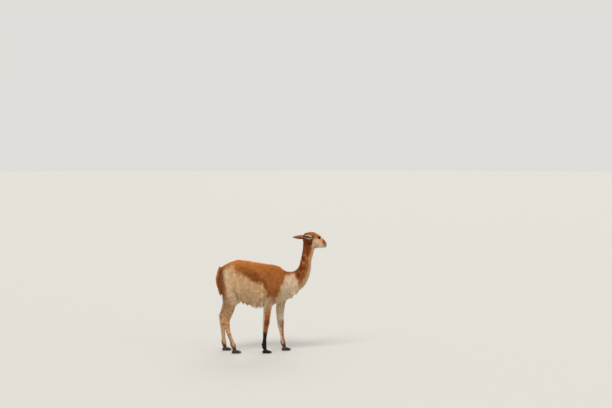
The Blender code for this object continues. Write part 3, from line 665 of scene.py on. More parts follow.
def cut_away(obj, place, way):
    """Cuts off what lies past a plane, and closes the cut."""
    work = bmesh.new()
    work.from_mesh(obj.data)
    everything = [*work.verts, *work.edges, *work.faces]
    bmesh.ops.bisect_plane(work, geom=everything, plane_co=place * CM, plane_no=way, clear_outer=True)
    bmesh.ops.holes_fill(work, edges=[edge for edge in work.edges if edge.is_boundary])
    bmesh.ops.triangulate(work, faces=[face for face in work.faces if len(face.verts) > 4])
    work.to_mesh(obj.data)
    work.free()


def head_depth(points):
    crown = ease(4.5, 6.5, points[:, 2]) * ease(7.5, 4.0, points[:, 0])
    throat = ease(-5.5, -7.5, points[:, 2]) * ease(8, 3, points[:, 0])
    depth = FACE_COAT + (CROWN_COAT - FACE_COAT) * crown + 0.35 * throat
    depth *= 1 - 0.6 * ease(11, 14, points[:, 0])
    past = above_nape(from_head(points))
    depth += (NECK_COAT - FACE_COAT) * ease(5, 0, past) * (1 - crown) * (1 - throat)
    return depth + ease(0, -1.5, past) * 0.6


def lid_outline(side, grow, lift, count=40):
    """Points round the gap between the lids, grown and lifted off the eyeball, in the head's frame."""
    turn = np.array(eye_turn(side))
    angles = np.arange(count) * 2 * math.pi / count
    x = np.cos(angles) * (EYE_OPENING[0] + grow)
    y = np.sin(angles) * np.abs(np.sin(angles)) ** 0.2 * (EYE_OPENING[1] + grow * 0.9)
    y += 0.12 * np.cos(angles) ** 2
    z = np.sqrt(np.maximum((EYE_RADIUS + lift) ** 2 - x**2 - y**2, 0.05))
    return np.column_stack((x, y, z)) @ turn.T + np.array(mirrored(EYE_AT, side))


FOLDS = (  # a path over the face, how far it stands out or sinks in, its half width
    (((9.6, 2.3, 1.5), (11.2, 2.4, 0.7), (13.0, 2.4, -0.4)), -0.14, 0.45),
    (((8.4, 3.6, 0.2), (7.4, 3.9, -2.6), (6.8, 3.6, -5.6)), -0.12, 0.55),
    (((4.6, 4.2, 4.6), (6.6, 4.0, 5.2), (8.8, 3.1, 4.4)), 0.12, 0.45),
    (((9.4, 3.0, -0.4), (6.6, 3.9, 0.2), (3.4, 4.8, 0.6)), 0.12, 0.6),
    (((16.2, 2.0, -1.3), (17.1, 1.3, -1.0), (17.6, 0.6, -1.3)), 0.14, 0.3),
    (((16.8, 2.0, -2.9), (14.4, 2.6, -3.3), (11.4, 2.9, -3.4)), 0.1, 0.35),
    (((16.4, 1.6, -4.8), (14.0, 2.3, -4.7), (11.2, 2.6, -4.4)), 0.08, 0.3),
    (((11.0, 2.9, -3.6), (10.2, 3.0, -4.6), (9.6, 2.9, -5.4)), -0.08, 0.3),
    (((-0.5, 5.0, 0.5), (-1.6, 5.1, -2.0), (-1.6, 4.9, -5.0)), -0.15, 0.6),
)


def folded(head):
    """Presses the folds of the face and of the lids into the head's skin, or raises them."""
    points, normals = points_of(head.data)
    tree = tree_of(head)
    folds = []
    for side in SIDES.values():
        for path, height, width in FOLDS:
            samples = smooth_rows([mirrored(p, side) for p in path], 10)
            folds.append((samples, height, width))
        folds.append((lid_outline(side, 0.55, LID)[2:19], -0.12, 0.16))
        folds.append((lid_outline(side, 0.5, LID)[23:38], -0.07, 0.16))
        folds.append((lid_outline(side, 0.2, LID), 0.05, 0.2))
    moved = points.copy()
    for samples, height, width in folds:
        path = np.array([tree.find_nearest(Vector(p) * CM)[0] for p in samples]) / CM
        near = np.linalg.norm(points - path.mean(0), axis=1) < 8
        far = np.linalg.norm(points[near, None] - path[None], axis=2).min(1)
        moved[near] += normals[near] * (height * np.exp(-((far / width) ** 2)))[:, None]
    set_points(head.data, moved)


def surface_path(tree, places, ways):
    """Where rays from far out meet the surface."""
    found = []
    for place, way in zip(places, ways):
        way = Vector(way).normalized()
        found.append(np.array(tree.ray_cast(Vector(place) * CM + way * 0.6, -way)[0]) / CM)
    return found


def mouth_path(tree, steps=24):
    places, ways = [], []
    for step in range(-steps, steps + 1):
        turn = step / steps * math.pi / 2
        share = abs(step) / steps
        back = max(0.0, share - MOUTH_FRONT) / MOUTH_BACK
        x = MOUTH_CENTRE[0] - back * MOUTH_LENGTH
        z = MOUTH_CENTRE[1] + MOUTH_SAG * math.sin(share * math.pi) + back * MOUTH_LIFT
        places.append((x, 0, z))
        ways.append((math.cos(turn), math.sin(turn), 0))
    return surface_path(tree, places, ways)


def grooved(head, name, path):
    boolean(head, new_object(name, *cord_form(path, GROOVES[name])), "DIFFERENCE")


def make_head():
    """The head in its own frame, with lids, nostrils and lips."""
    stub, faces = tube(NECK[4:])
    forms = [trunk_loft(SKULL, 2.1, 40), (to_head(stub), faces)]
    rim = EYE_RADIUS + LID
    for side in SIDES.values():
        forms += [ball(mirrored(at, side), radii) for at, radii in HEAD_FORMS]
        forms.append(ball(mirrored(EYE_AT, side), (rim * 1.2, rim * 0.98, rim * 1.05)))
        forms.append(ball(mirrored(EYE_AT, side), (rim + FACE_COAT,) * 3, eye_turn(side)))
    head = melted("head", forms, HEAD_VOXEL, 7)
    pressed_in(head, head_depth)
    place = NAPE_CUT[0] - NAPE_CUT[1] * NAPE_OVERLAP - Vector(HEAD_AT)
    cut_away(head, Vector(np.array(place) @ HEAD_TURN), Vector(-np.array(NAPE_CUT[1]) @ HEAD_TURN))
    folded(head)
    thinned(head, HEAD_FACES)
    tree = tree_of(head)
    for side in SIDES.values():
        outer, inner = lid_outline(side, 0.06, 1.4), lid_outline(side, -0.05, -0.9)
        boolean(head, new_object("opening", *loft([outer, inner])), "DIFFERENCE")
        socket = ball(mirrored(EYE_AT, side), (EYE_RADIUS + 0.02,) * 3)
        boolean(head, new_object("socket", *socket), "DIFFERENCE")
        outline = lid_outline(side, 0.1, 0.1, 48)
        rings = []
        for i, centre in enumerate(outline):
            way = unit(outline[(i + 1) % 48] - outline[i - 1])
            out = unit(centre - np.array(mirrored(EYE_AT, side)))
            rings.append(ring(centre, out, np.cross(way, out), 0.15, 0.13, 8))
        boolean(head, new_object("lid_rim", *closed_loop(rings)), "UNION")
        places = [(NOSTRIL_AXIS, 0, z) for _, _, z in NOSTRIL]
        nostril = surface_path(tree, places, [(x - NOSTRIL_AXIS, y * side, 0) for x, y, _ in NOSTRIL])
        grooved(head, "nostril", smooth_rows(nostril, 4))
    grooved(head, "lips", mouth_path(tree))
    grooved(head, "split", surface_path(tree, [(13, 0, z) for z in SPLIT], [(1, 0, 0)] * len(SPLIT)))
    return head


def closed_loop(rings):
    """The points and faces of a ring-shaped tube."""
    count, sides = len(rings), len(rings[0])
    faces = []
    for i in range(count):
        for j in range(sides):
            k, n = (j + 1) % sides, (i + 1) % count
            faces.append((i * sides + j, i * sides + k, n * sides + k, n * sides + j))
    return np.vstack(rings), faces


class Ear:
    """An ear's frame along its length, in the head's frame."""

    def __init__(self, side, splay, rise):
        self.side = side
        self.axis = Vector((-math.cos(splay), side * math.sin(splay), math.tan(rise))).normalized()
        outward = Vector((math.sin(splay), side * math.cos(splay), EAR_FALL))
        self.outward = (outward - self.axis * outward.dot(self.axis)).normalized()
        self.root = mirrored(EAR_AT, side)

    def section(self, share):
        """The middle of the roll, the way its mouth faces and the way across, at a share of the length."""
        mouth = Matrix.Rotation(self.side * -EAR_TWIST * share, 3, self.axis) @ self.outward
        droop = Vector((0, 0, -EAR_CURVE * share * share))
        centre = self.root + self.axis * EAR_LENGTH * (share - EAR_IN_HEAD) + droop
        return centre, mouth, self.axis.cross(mouth)

    def radius(self, share):
        return np.interp(share, *np.array(EAR_PROFILE).T[:2])

    def half_arc(self, share):
        table = np.array(EAR_PROFILE).T
        return np.radians(np.interp(share, table[0], table[2]))

    def mesh(self):
        points = []
        for i in range(EAR_STEPS + 1):
            share = i / EAR_STEPS
            centre, mouth, across = self.section(share)
            for j in range(EAR_SIDES + 1):
                angle = self.half_arc(share) * (2 * j / EAR_SIDES - 1)
                spoke = across * math.sin(angle) - mouth * math.cos(angle) * EAR_FLATNESS
                points.append(centre + spoke * (self.radius(share) - EAR_INSET))
        faces = []
        for i in range(EAR_STEPS):
            for j in range(EAR_SIDES):
                a = i * (EAR_SIDES + 1) + j
                faces.append((a, a + 1, a + EAR_SIDES + 2, a + EAR_SIDES + 1))
        ear = new_object("ear", points, faces)
        wall = ear.modifiers.new("Wall", "SOLIDIFY")
        wall.thickness = EAR_WALL * CM
        wall.offset = 0
        return applied(ear)

    def at(self, points):
        """For points of the head's frame: the share along the ear, the angle from the back of the roll and
        the distance from its middle as a share of the radius."""
        root, axis = np.array(self.root), np.array(self.axis)
        share = np.clip((points - root) @ axis / EAR_LENGTH + EAR_IN_HEAD, 0, 1)
        centres = root + axis * EAR_LENGTH * (share[:, None] - EAR_IN_HEAD)
        centres[:, 2] -= EAR_CURVE * share**2
        turn = self.side * -EAR_TWIST * share
        outward = np.array(self.outward)
        mouth = outward * np.cos(turn)[:, None] + np.cross(axis, outward) * np.sin(turn)[:, None]
        across = np.cross(axis, mouth)
        offset = points - centres
        out, over = dot(offset, mouth) / EAR_FLATNESS, dot(offset, across)
        return share, np.arctan2(over, -out), np.hypot(over, out) / self.radius(share)


EARS = {
    "ear_right": Ear(-1, EAR_SPLAY[0], EAR_RISE[0]),
    "ear_left": Ear(1, EAR_SPLAY[1], EAR_RISE[1]),
}


def make_skin(body, head, ears):
    """One closed surface of copies of the body, the head and the ears."""
    skin = copied(body, "skin")
    for part in (head, *ears):
        boolean(skin, copied(part, "part"), "UNION")

    def at_seams(points):
        nape = bump(above_nape(points), 0, 1.6)
        base = np.zeros(len(points))
        for ear in EARS.values():
            share, _, near = ear.at(to_head(points))
            base = np.maximum(base, bump(share, EAR_IN_HEAD + 0.04, 0.05) * (near < 1.8))
        return np.maximum(nape, base * 0.5)

    seam_smoothed(skin, at_seams, 8)
    return skin


def copied(obj, name):
    return linked(name, obj.data.copy())


# The coat's markings, the same on the skin and on the tufts; some of them are painted light and shade

SADDLE_EDGE = (  # x, and the height of the saddle's lower edge there
    (-46, 72),
    (-43, 75),
    (-41.0, 79.3),
    (-37.5, 84.2),
    (-33.5, 86.8),
    (-28.5, 88.0),
    (-24.8, 85.0),
    (-20.5, 81.5),
    (-12.0, 77.6),
    (-3.0, 74.6),
    (2.0, 72.0),
    (5.5, 67.0),
    (9.0, 60.0),
    (11.9, 53.0),
    (15.2, 60.0),
    (19.2, 67.5),
    (23.0, 75.5),
    (26.5, 81.0),
    (31.0, 82.0),
    (36.0, 84.0),
)
TAIL_SHADE = (0.15, 0.75)  # how far forward the tail's hair faces where its tan back turns brown, as painted shade on its front and sides
RUMP_EDGE = ((44, -37.5), (50, -37.0), (57, -39.0), (68, -42.6), (79, -44.6), (86, -43.6))  # height, x
FLANK_FOLD = ((46, -20.5), (51, -22.0), (58, -24.6), (65, -27.4), (70, -28.5))  # height, x
NECK_EDGE = ((35.1, 0, 78.9), (0.9, 0, 0.436))  # a point where the neck's brown ends, and the way up
WIDE = math.inf  # a radius in a direction that doesn't count
# Marks of the head, in its own frame
CROWN_EDGE = ((-8, -4.5), (-3, 0.2), (2, 2.0), (6, 2.3), (9, 4.0), (12, 2.6), (18, -1.2))  # x, height
BRIDGE = ((12.8, 0, 1.0), (4.2, WIDE, 2.9))  # centre and radii of the tan on the bridge of the nose
MUZZLE = ((14.9, 0, -0.6), (3.2, WIDE, 2.8))  # of the brown on the muzzle
NOSE = ((17.5, 0, -3.8), (1.4, 2.6, 1.25))  # of the bare dark skin
CHEEK = ((-4.0, 0, -2.6), (2.6, WIDE, 2.2))  # of the shadow under the ear


def flank_fold(points):
    """How near points are to the fold where the long belly wool ends at the thigh."""
    x, y, z = points.T
    return bump(x, read_off(FLANK_FOLD, z), 1.5) * ease(46, 50, z) * ease(71, 60, z) * (np.abs(y) > 6)


def body_marks(points, normals):
    x, y, z = points.T
    out = np.abs(y)
    wave = ripple(points, 11, 3) + ripple(points, 3.0, 4) * 0.6
    edge = read_off(SADDLE_EDGE, x) + wave * 1.1
    saddle = ease(-2.6, 3.0, z - edge)
    deep = bump(z - edge, 3.5, 7.5) * ease(-30, -14, x) * ease(22, 14, x)
    # Browner along the saddle's lower edge, its own colour, and browner below the top of the back, which is
    # left lighter as painted light from above.
    brown = saddle * np.maximum(deep * 0.78, 0.42 * ease(93, 86, z))
    # The rear-facing rump: partly its browner hair, partly painted shade on the side turned away from the
    # light.
    rump_brown_and_shade = ease(-0.3, -0.7, normals[:, 0]) * ease(-26, -32, x) * ease(43, 51, z)
    rump_brown_and_shade = rump_brown_and_shade * np.maximum(ease(2.5, 4.5, out), ease(58, 64, z))
    rear = read_off(RUMP_EDGE, z)
    # Painted shade: a brown band along the thigh's rear edge, where its surface turns away.
    thigh_edge_shade = ease(7.2, 2.6, x - rear - 2.8 * ease(58, 72, z) + wave * 0.5)
    thigh_edge_shade = thigh_edge_shade * ease(43, 51, z) * ease(88, 80, z)
    # Painted shadow: the fold where the belly's wool ends at the thigh is browned and darkened.
    fold = flank_fold(points)
    brown = np.maximum.reduce([brown, rump_brown_and_shade * 0.85, thigh_edge_shade * 0.5, fold * 0.6])
    saddle = np.maximum.reduce([saddle, rump_brown_and_shade * 0.8, thigh_edge_shade * 0.8])
    crescent = bump(x, rear + 8.5, 4.0) * ease(56, 64, z) * ease(92, 88, z) * (1 - saddle)
    seat = ease(-37, -42, x) * ease(4.2, 2.2, out) * ease(64, 58, z)
    chest = ease(15, 22, x) * (1 - saddle)
    under = ease(66, 54, z) * 0.35
    pale = np.maximum.reduce([crescent * 0.55, seat * 0.6, chest * 0.7, under])
    return saddle, brown, pale, fold * 0.25


def neck_marks(points, normals):
    """The neck's chestnut, flecked with tan, and the cream down its front."""
    index, _ = NECK_PATH.near(points)
    ways = NECK_PATH.ways[index]
    forward = np.column_stack((ways[:, 2], np.zeros(len(points)), -ways[:, 0]))
    facing = dot(unit(normals), forward)
    flecks = ripple(points * (1, 1, 0.7), 4.2, 8) + ripple(points, 1.9, 9) * 0.7
    high = ease(98, 107, points[:, 2])
    front = ease(0.4, 0.73, facing + flecks * 0.05 - 0.06 * ease(100, 90, points[:, 2]))
    brown = 0.78 + 0.16 * high + 0.24 * flecks * (1 - 0.4 * high)
    brown = brown.clip(0, 1) * (1 - 0.62 * ease(-0.1, 0.5, facing)) * (1 - front)
    tan = 1 - 0.8 * front - 0.35 * ease(0.05, 0.5, facing) * (1 - front)
    return tan, brown, front * 0.35, np.zeros(len(points))


def leg_marks(points, normals):
    x, y, z = points.T
    out = normals[:, 1] * np.sign(y)
    speck = ripple(points, 2.6, 12) + 0.6 * ripple(points, 1.3, 13)
    fore = ease(-12, -6, x)
    near = ease(0, -2, y)
    front = normals[:, 0] + speck * 0.06
    stripe = ease(0.05, 0.35, out) * ease(-0.62, -0.34, front) * ease(0.85, 0.6, front)
    knee = bump(z, 31, 8)
    low = (1 - near) * ease(36, 29, z) * ease(-0.4, 0.2, front) * 0.9
    tan = np.maximum(stripe * (0.75 + 0.25 * near) * (1 - 0.3 * ease(38, 46, z)), low)
    brown_fore = np.maximum(stripe * (knee + 0.1 * speck), low * (0.62 + 0.25 * speck))
    dapple = ease(0.0, 1.4, speck + 0.3 * ease(46, 30, z))
    saddle = fore * tan + (1 - fore) * (0.16 + 0.6 * dapple) * ease(-1.0, 0.2, out)
    blots = ease(0.9, 1.5, ripple(points * (1, 1, 0.8), 4.6, 14) + 0.3 * speck)
    blots = blots * (1 - near) * ease(48, 42, z)
    brown_hind = np.maximum(dapple * 0.5 * ease(-0.9, 0.3, out), 0.24 * ease(0.1, -0.5, out))
    brown_hind = np.maximum(brown_hind, blots * 0.8)
    brown = fore * brown_fore + (1 - fore) * brown_hind
    pale = (1 - stripe) * (1 - low) * fore * 0.85 + (1 - fore) * ease(0.1, -0.6, out) * 0.15
    mud = near * fore * ease(24.5, 20.5, z + speck)
    rear = ease(-0.1, -0.6, normals[:, 0]) * ease(14, 8, z) * 0.8
    # The feet darkened: partly mud, partly painted shade over their tan hair.
    feet = ease(8.6, 5.8, z + speck * 0.7)
    return saddle, brown.clip(0, 1), pale, np.maximum.reduce([mud, feet * 0.88, rear])


def head_marks(points):
    """points in the head's frame."""
    x, _, z = points.T
    speck = ripple(points, 1.7, 21)
    blot = ripple(points, 2.6, 24) * 0.1 + ripple(points, 0.7, 25) * 0.07
    curls = ripple(points * (1, 1, 0.6), 3.0, 23)
    crown = ease(-0.6, 1.0, z - read_off(CROWN_EDGE, x) + speck * 0.2)
    bridge = ease(0.3, 0.75, blob(points, *BRIDGE) + blot)
    patch = ease(0.25, 0.7, blob(points, *MUZZLE) + blot * 0.7)
    nape = ease(0.9, -1.3, x + speck * 0.25 + 0.12 * z) * (1 - 0.85 * ease(2.8, 5.2, z + speck * 0.3))
    bare = bump(x, 9.2, 1.3) * ease(-0.5, 1.0, z) * 0.45
    saddle = np.maximum.reduce([crown * (1 - bare), bridge, nape])
    streaks = crown * (0.22 * curls - 0.02) * ease(8, 4, x)
    brown = np.maximum.reduce([streaks, patch * (0.8 + blot), nape * (0.95 + 0.1 * curls)])
    chin = ease(-2.9, -4.0, z) * ease(7.5, 10.5, x)
    brow = 0.3 * ease(6, 8.5, x) * ease(3.6, 4.8, z)
    brow = brow + 0.16 * crown * ease(-0.3, -1.3, curls) * (1 - nape)
    pale = np.maximum.reduce([chin, 0.35 * (1 - saddle), bare * 0.5, brow])
    dark = np.maximum(1.7 * blob(points, *NOSE), 0.35 * blob(points, *CHEEK))
    for side in SIDES.values():
        lids = to_eye(points, side)
        by_eye = (lids[:, 2] > 0.2) * (np.abs(lids).max(1) < 3)
        oval = lid_oval(lids, 0.3, 0.32)
        corner = np.hypot((lids[:, 0] - EYE_OPENING[0] - 0.3) / 0.8, (lids[:, 1] + 0.35) / 0.42)
        behind = np.hypot((lids[:, 0] + EYE_OPENING[0] + 0.55) / 0.95, (lids[:, 1] + 0.1) / 0.4)
        corners = np.maximum(0.8 * ease(1.3, 0.5, corner), 0.85 * ease(1.3, 0.6, behind))
        dark = np.maximum(dark, np.maximum(ease(1.3, 0.95, oval), corners) * by_eye)
        for place in NOSTRIL:
            near = np.linalg.norm(points - np.array(mirrored(place, side)), axis=1)
            dark = np.maximum(dark, 0.9 * ease(0.85, 0.3, near))
    lips = bump(z, MOUTH_CENTRE[1] - 0.1, 0.22) * ease(10, 12.5, x)
    return saddle, brown.clip(0, 1), pale * (1 - patch * 0.7), np.maximum(dark, lips * 0.8)


def ear_marks(ear, points, normals):
    """points and normals in the head's frame, on that ear."""
    share, angle, near = ear.at(points)
    inside = ease(1.0, 0.9, near)
    edge = np.abs(angle) / ear.half_arc(share)
    rim = ease(0.62, 0.85, edge) * ease(1.0, 0.7, share)
    fringe = rim * (0.45 + 0.55 * ease(0.75, 0.5, share))
    back = 1 - inside
    speck = ripple(points, 1.5, 31)
    brown = back * (0.55 + 0.15 * speck)
    # Painted shade: the back of the ear darkened where it faces down.
    under = back * ease(0.0, -0.6, normals[:, 2]) * ease(0.2, 0.4, share) * 0.8
    # The inside of the roll dark: partly its dark skin, partly painted shade inside the roll; the tip dark
    # in its own colour.
    dark = np.maximum.reduce([inside * (1 - rim) * 0.95, ease(0.84, 1.0, share) * 0.85, under])
    return back * 0.9, brown.clip(0, 1) * (1 - fringe), fringe, dark * (1 - fringe * 0.9)


def markings(points, normals):
    """The cover of each mark, from 0 to 1, at points of the animal's frame."""
    marks = np.array(body_marks(points, normals))
    edge = beyond(points, NECK_EDGE) + ripple(points, 6, 5) * 0.9
    top = ease(0.55, 0.85, normals[:, 2]) * ease(20, 26, points[:, 0])
    neck = np.maximum(ease(-1.5, 1.8, edge), top * 0.8)
    marks = marks * (1 - neck) + np.array(neck_marks(points, normals)) * neck
    leg = leg_share(points) * ease(55, 45, points[:, 2])
    marks = marks * (1 - leg) + np.array(leg_marks(points, normals)) * leg
    tail = tail_share(points)
    # Painted shade on the tail: browner where its hair faces forward and sideways, towards the rump,
    # lighter at its back.
    front = ease(*TAIL_SHADE, normals[:, 0] + 0.45 * np.abs(normals[:, 1]))
    tail_marks = np.array((0.85 + 0 * front, 0.3 + 0.6 * front, 0 * front, 0 * front))
    marks = marks * (1 - tail) + tail_marks * tail
    head = ease(-1.0, 2.5, above_nape(points))
    inner = to_head(points)
    near = head > 0
    if near.any():
        face = np.array(head_marks(inner[near]))
        marks[:, near] = marks[:, near] * (1 - head[near]) + face * head[near]
    for ear in EARS.values():
        share, _, reach = ear.at(inner)
        on_ear = (share > EAR_IN_HEAD + 0.05) & (share < 1) & (reach < 1.35) & (head > 0)
        on_ear &= np.sign(inner[:, 1]) == ear.side
        if on_ear.any():
            blend = ease(EAR_IN_HEAD + 0.05, EAR_IN_HEAD + 0.12, share[on_ear])
            colours = np.array(ear_marks(ear, inner[on_ear], normals[on_ear] @ HEAD_TURN))
            marks[:, on_ear] = marks[:, on_ear] * (1 - blend) + colours * blend
    return dict(zip(("saddle", "brown", "pale", "dark"), marks.clip(0, 1)))


def store(mesh, name, values):
    layer = mesh.attributes.new(name, "FLOAT", "POINT")
    layer.data.foreach_set("value", np.ascontiguousarray(values, np.float32))


# The coat: closed, three-sided, tapered tufts, many to a mesh

RIDGE = 0.34  # how far a tuft's back stands up, as a share of its width
OUTLINE = ((0, 0.75), (0.5, 1.0), (1, 0.7))  # a tuft's width along it, where it has more than one ring
PATCH = 0.003  # the side of a tuft's place on the bake map
PATCH_CORNERS = np.array(((0.0, 0.0), (0.12, 0.5), (0.0, 1.0)))
TUFTS = {  # how many tufts a piece has, and the seed of their draws
    "coat_back": (10000, 101),
    "coat_right": (10000, 102),
    "coat_left": (10000, 103),
    "down_back": (22000, 105),
    "down_right": (22000, 106),
    "down_left": (22000, 107),
    "coat_neck": (10000, 111),
    "down_neck": (16000, 112),
    "coat_forelegs": (20000, 121),
    "coat_hindlegs": (22000, 122),
    "coat_feet": (14000, 131),
    "coat_tail": (4000, 141),
    "coat_face": (32000, 151),
    "coat_crown": (11000, 152),
    "coat_ear_right": (7000, 161),
    "coat_ear_left": (7000, 162),
}
BACK_FROM = 82  # the height from which the trunk's tufts belong to the back
NECK_FROM, LEG_FROM = 0.5, 0.55  # the shares of neck and leg from which their own tufts grow
TAIL_FROM, TRUNK_UP_TO = 0.4, 0.5  # the trunk's tufts reach a little onto the tail
LEG_DOWN_TO, FOOT_UP_TO = 6.5, 6.8  # the heights where the tufts of legs and feet end


class Roots:
    """The places on a mesh where a piece's tufts grow: even over it, but fewer where keep says less."""

    def __init__(self, obj, name, keep):
        count, seed = TUFTS[name]
        self.name, self.count = name, count
        self.draw = np.random.default_rng(seed)
        mesh = obj.data
        mesh.calc_loop_triangles()
        points, normals = points_of(mesh)
        corners = read(mesh.loop_triangles, "vertices", 3, int)
        a, b, c = (points[corners[:, i]] for i in range(3))
        area = np.linalg.norm(np.cross(b - a, c - a), axis=1) / 2
        facing = unit(np.cross(b - a, c - a))
        total = np.cumsum(area * keep((a + b + c) / 3, facing))
        picks = np.searchsorted(total, (np.arange(count) + self.draw.random(count)) / count * total[-1])
        picks = picks.clip(0, len(corners) - 1)
        u, v = self.draw.random((2, count))
        flip = u + v > 1
        u, v = np.where(flip, 1 - u, u), np.where(flip, 1 - v, v)
        chosen = corners[picks]
        shares = np.column_stack((1 - u - v, u, v))
        self.points = np.einsum("nk,nkd->nd", shares, points[chosen])
        self.normals = unit(np.einsum("nk,nkd->nd", shares, normals[chosen]))

    def uniform(self, low, high):
        return self.draw.uniform(low, high, self.count)

    def within(self, ways, spread):
        """Ways laid into the surface and turned a little at random."""
        ways = unit(ways - self.normals * dot(ways, self.normals)[:, None])
        side = np.cross(self.normals, ways)
        turn = self.draw.normal(0, 1, self.count).clip(-1.8, 1.8) * spread
        return unit(ways * np.cos(turn)[:, None] + side * np.sin(turn)[:, None])


def laid(roots, lies, length, rise, rings, sink=0.1):
    """Middle lines of tufts that leave the skin at the first angle of rise and end at the second."""
    first, last = (np.radians(np.broadcast_to(angle, roots.count)) for angle in rise)
    sway = roots.draw.normal(0, 0.22, roots.count)
    side = np.cross(roots.normals, lies)
    at = roots.points - roots.normals * sink
    path = [at]
    for i in range(rings):
        share = i / max(rings - 1, 1)
        angle = first + (last - first) * share
        heading = lies * np.cos(angle)[:, None] + roots.normals * np.sin(angle)[:, None]
        heading = unit(heading + side * (sway * share)[:, None])
        at = at + heading * (length / rings)[:, None]
        path.append(at)
    return np.stack(path, axis=1)


def tufts(name, path, normals, widths, marks, places, finish):
    """A mesh of tufts from their middle lines in centimetres, the widths of their rings and their marks."""
    count, rings = len(path), path.shape[1] - 1
    heading = unit(np.diff(path, axis=1))
    side = unit(np.cross(np.broadcast_to(normals[:, None], heading.shape), heading))
    up = np.cross(heading, side)
    half = widths[..., None] / 2
    start = path[:, :-1]
    corners = np.stack([start - side * half, start + side * half, start + up * half * 2 * RIDGE], axis=2)
    points = np.concatenate([corners.reshape(count, rings * 3, 3), path[:, -1:]], axis=1)
    size = rings * 3 + 1
    faces = [(0, 2, 1)]
    for i in range(rings - 1):
        for j in range(3):
            k = (j + 1) % 3
            faces.append((3 * i + j, 3 * i + k, 3 * i + 3 + k, 3 * i + 3 + j))
    for j in range(3):
        faces.append((3 * rings - 3 + j, 3 * rings - 3 + (j + 1) % 3, 3 * rings))
    loops = np.concatenate([np.array(face) for face in faces])
    totals = np.array([len(face) for face in faces])
    starts = np.concatenate([[0], np.cumsum(totals)[:-1]])
    step = np.arange(count)[:, None]
    mesh = bpy.data.meshes.new(name)
    mesh.vertices.add(count * size)
    mesh.loops.add(count * len(loops))
    mesh.polygons.add(count * len(faces))
    mesh.vertices.foreach_set("co", (points * CM).ravel())
    mesh.loops.foreach_set("vertex_index", (loops + step * size).ravel())
    mesh.polygons.foreach_set("loop_start", (starts + step * len(loops)).ravel())
    mesh.update(calc_edges=True)
    along = np.repeat(np.arange(rings) / rings, 3)
    store(mesh, "tip", np.tile(np.append(along, 1.0), count))
    for mark, values in marks.items():
        store(mesh, mark, np.repeat(values, size))
    patch = np.column_stack((along * 0.88, np.zeros(rings * 3))) + np.tile(PATCH_CORNERS, (rings, 1))
    patch = np.vstack([patch, (1.0, 0.5)]) * PATCH
    uv = places[:, None] * (1 - 2 * PATCH) + patch[loops]
    mesh.uv_layers.new(name="OFBake").data.foreach_set("uv", uv.astype(np.float32).ravel())
    mesh.materials.append(finish)
    mesh.shade_smooth()
    return linked(name, mesh)


def wrapped(angle):
    """An angle as a place across a map, with a whole turn to its width."""
    return (angle / (2 * math.pi) + 0.5).clip(0, 1)


def trunk_places(points):
    """The trunk unrolled: along its length and round it."""
    x, y, z = points.T
    return np.column_stack(((x + 50) / 100, wrapped(np.arctan2(y, z - 73)))).clip(0, 1)


def neck_places(points):
    index, _ = NECK_PATH.near(points)
    middle, way = NECK_PATH.places[index], NECK_PATH.ways[index]
    along = (index + dot(points - middle, way)) / len(NECK_PATH.places)
    forward = np.column_stack((way[:, 2], np.zeros(len(points)), -way[:, 0]))
    offset = points - middle
    return np.column_stack((wrapped(np.arctan2(offset[:, 1], dot(offset, forward))), along)).clip(0, 1)


def leg_places(points):
    """The four legs unrolled side by side."""
    near = np.array([path.near(points)[1] for path in LEG_PATHS.values()])
    which = near.argmin(0)
    across = np.zeros(len(points))
    for i, path in enumerate(LEG_PATHS.values()):
        middle = path.places[path.near(points)[0]]
        turn = wrapped(np.arctan2(points[:, 1] - middle[:, 1], points[:, 0] - middle[:, 0]))
        across = np.where(which == i, (i + turn * 0.96 + 0.02) / 4, across)
    return np.column_stack((across, points[:, 2] / 62)).clip(0, 1)


def head_places(points):
    x, y, z = to_head(points).T
    return np.column_stack(((x + 10) / 29, wrapped(np.arctan2(y, z + 0.8)))).clip(0, 1)


def ear_places(points):
    inner = to_head(points)
    left = inner[:, 1] > 0
    across, along = np.zeros(len(points)), np.zeros(len(points))
    for ear in EARS.values():
        share, angle, near = ear.at(inner)
        mine = left == (ear.side > 0)
        skin = np.where(near < 0.95, 0.25, 0.0)
        across = np.where(mine, (0.5 if ear.side > 0 else 0) + skin + wrapped(angle) * 0.24, across)
        along = np.where(mine, share, along)
    return np.column_stack((across, along)).clip(0, 1)


def body_lie(roots):
    """The way the hair lies: back along the trunk, down the neck, the flanks and the legs."""
    points = roots.points
    x, _, z = points.T
    low = ease(90, 64, z)
    haunch = ease(-16, -30, x)
    ways = np.column_stack((-1 + 0.72 * low + 0.25 * haunch, 0 * x, -0.1 - 1.0 * low - 0.4 * haunch))
    top = ease(0.1, 0.65, roots.normals[:, 2])
    chest = (ease(14, 30, x) * (1 - top))[:, None]
    ways = ways * (1 - chest) + np.array((-0.45, 0, -1)) * chest
    leg = leg_share(points)[:, None]
    ways = ways * (1 - leg) + np.array((-0.08, 0, -1)) * leg
    neck = neck_share(points)[:, None]
    down = -NECK_PATH.ways[NECK_PATH.near(points)[0]]
    ways = ways * (1 - neck) + down * neck
    return unit(ways) + swirled(points, 16, 41) * 0.13


def head_lie(points):
    """points in the head's frame."""
    x, _, z = points.T
    cheek = ease(2.5, -2.5, z)
    ways = np.column_stack((-np.ones(len(points)), np.zeros(len(points)), 0.12 - 0.75 * cheek))
    nape = ease(-4, -7, x)[:, None]
    return ways * (1 - nape) + np.array((-0.2, 0, -1)) * nape


def shade(points, draw):
    """How light each tuft is, against the mean of 0: patches along the coat and chance."""
    patches = ripple(points, 5.0, 51) * 0.05 + ripple(points, 2.2, 52) * 0.05
    return patches + draw.normal(0, 0.07, len(points))


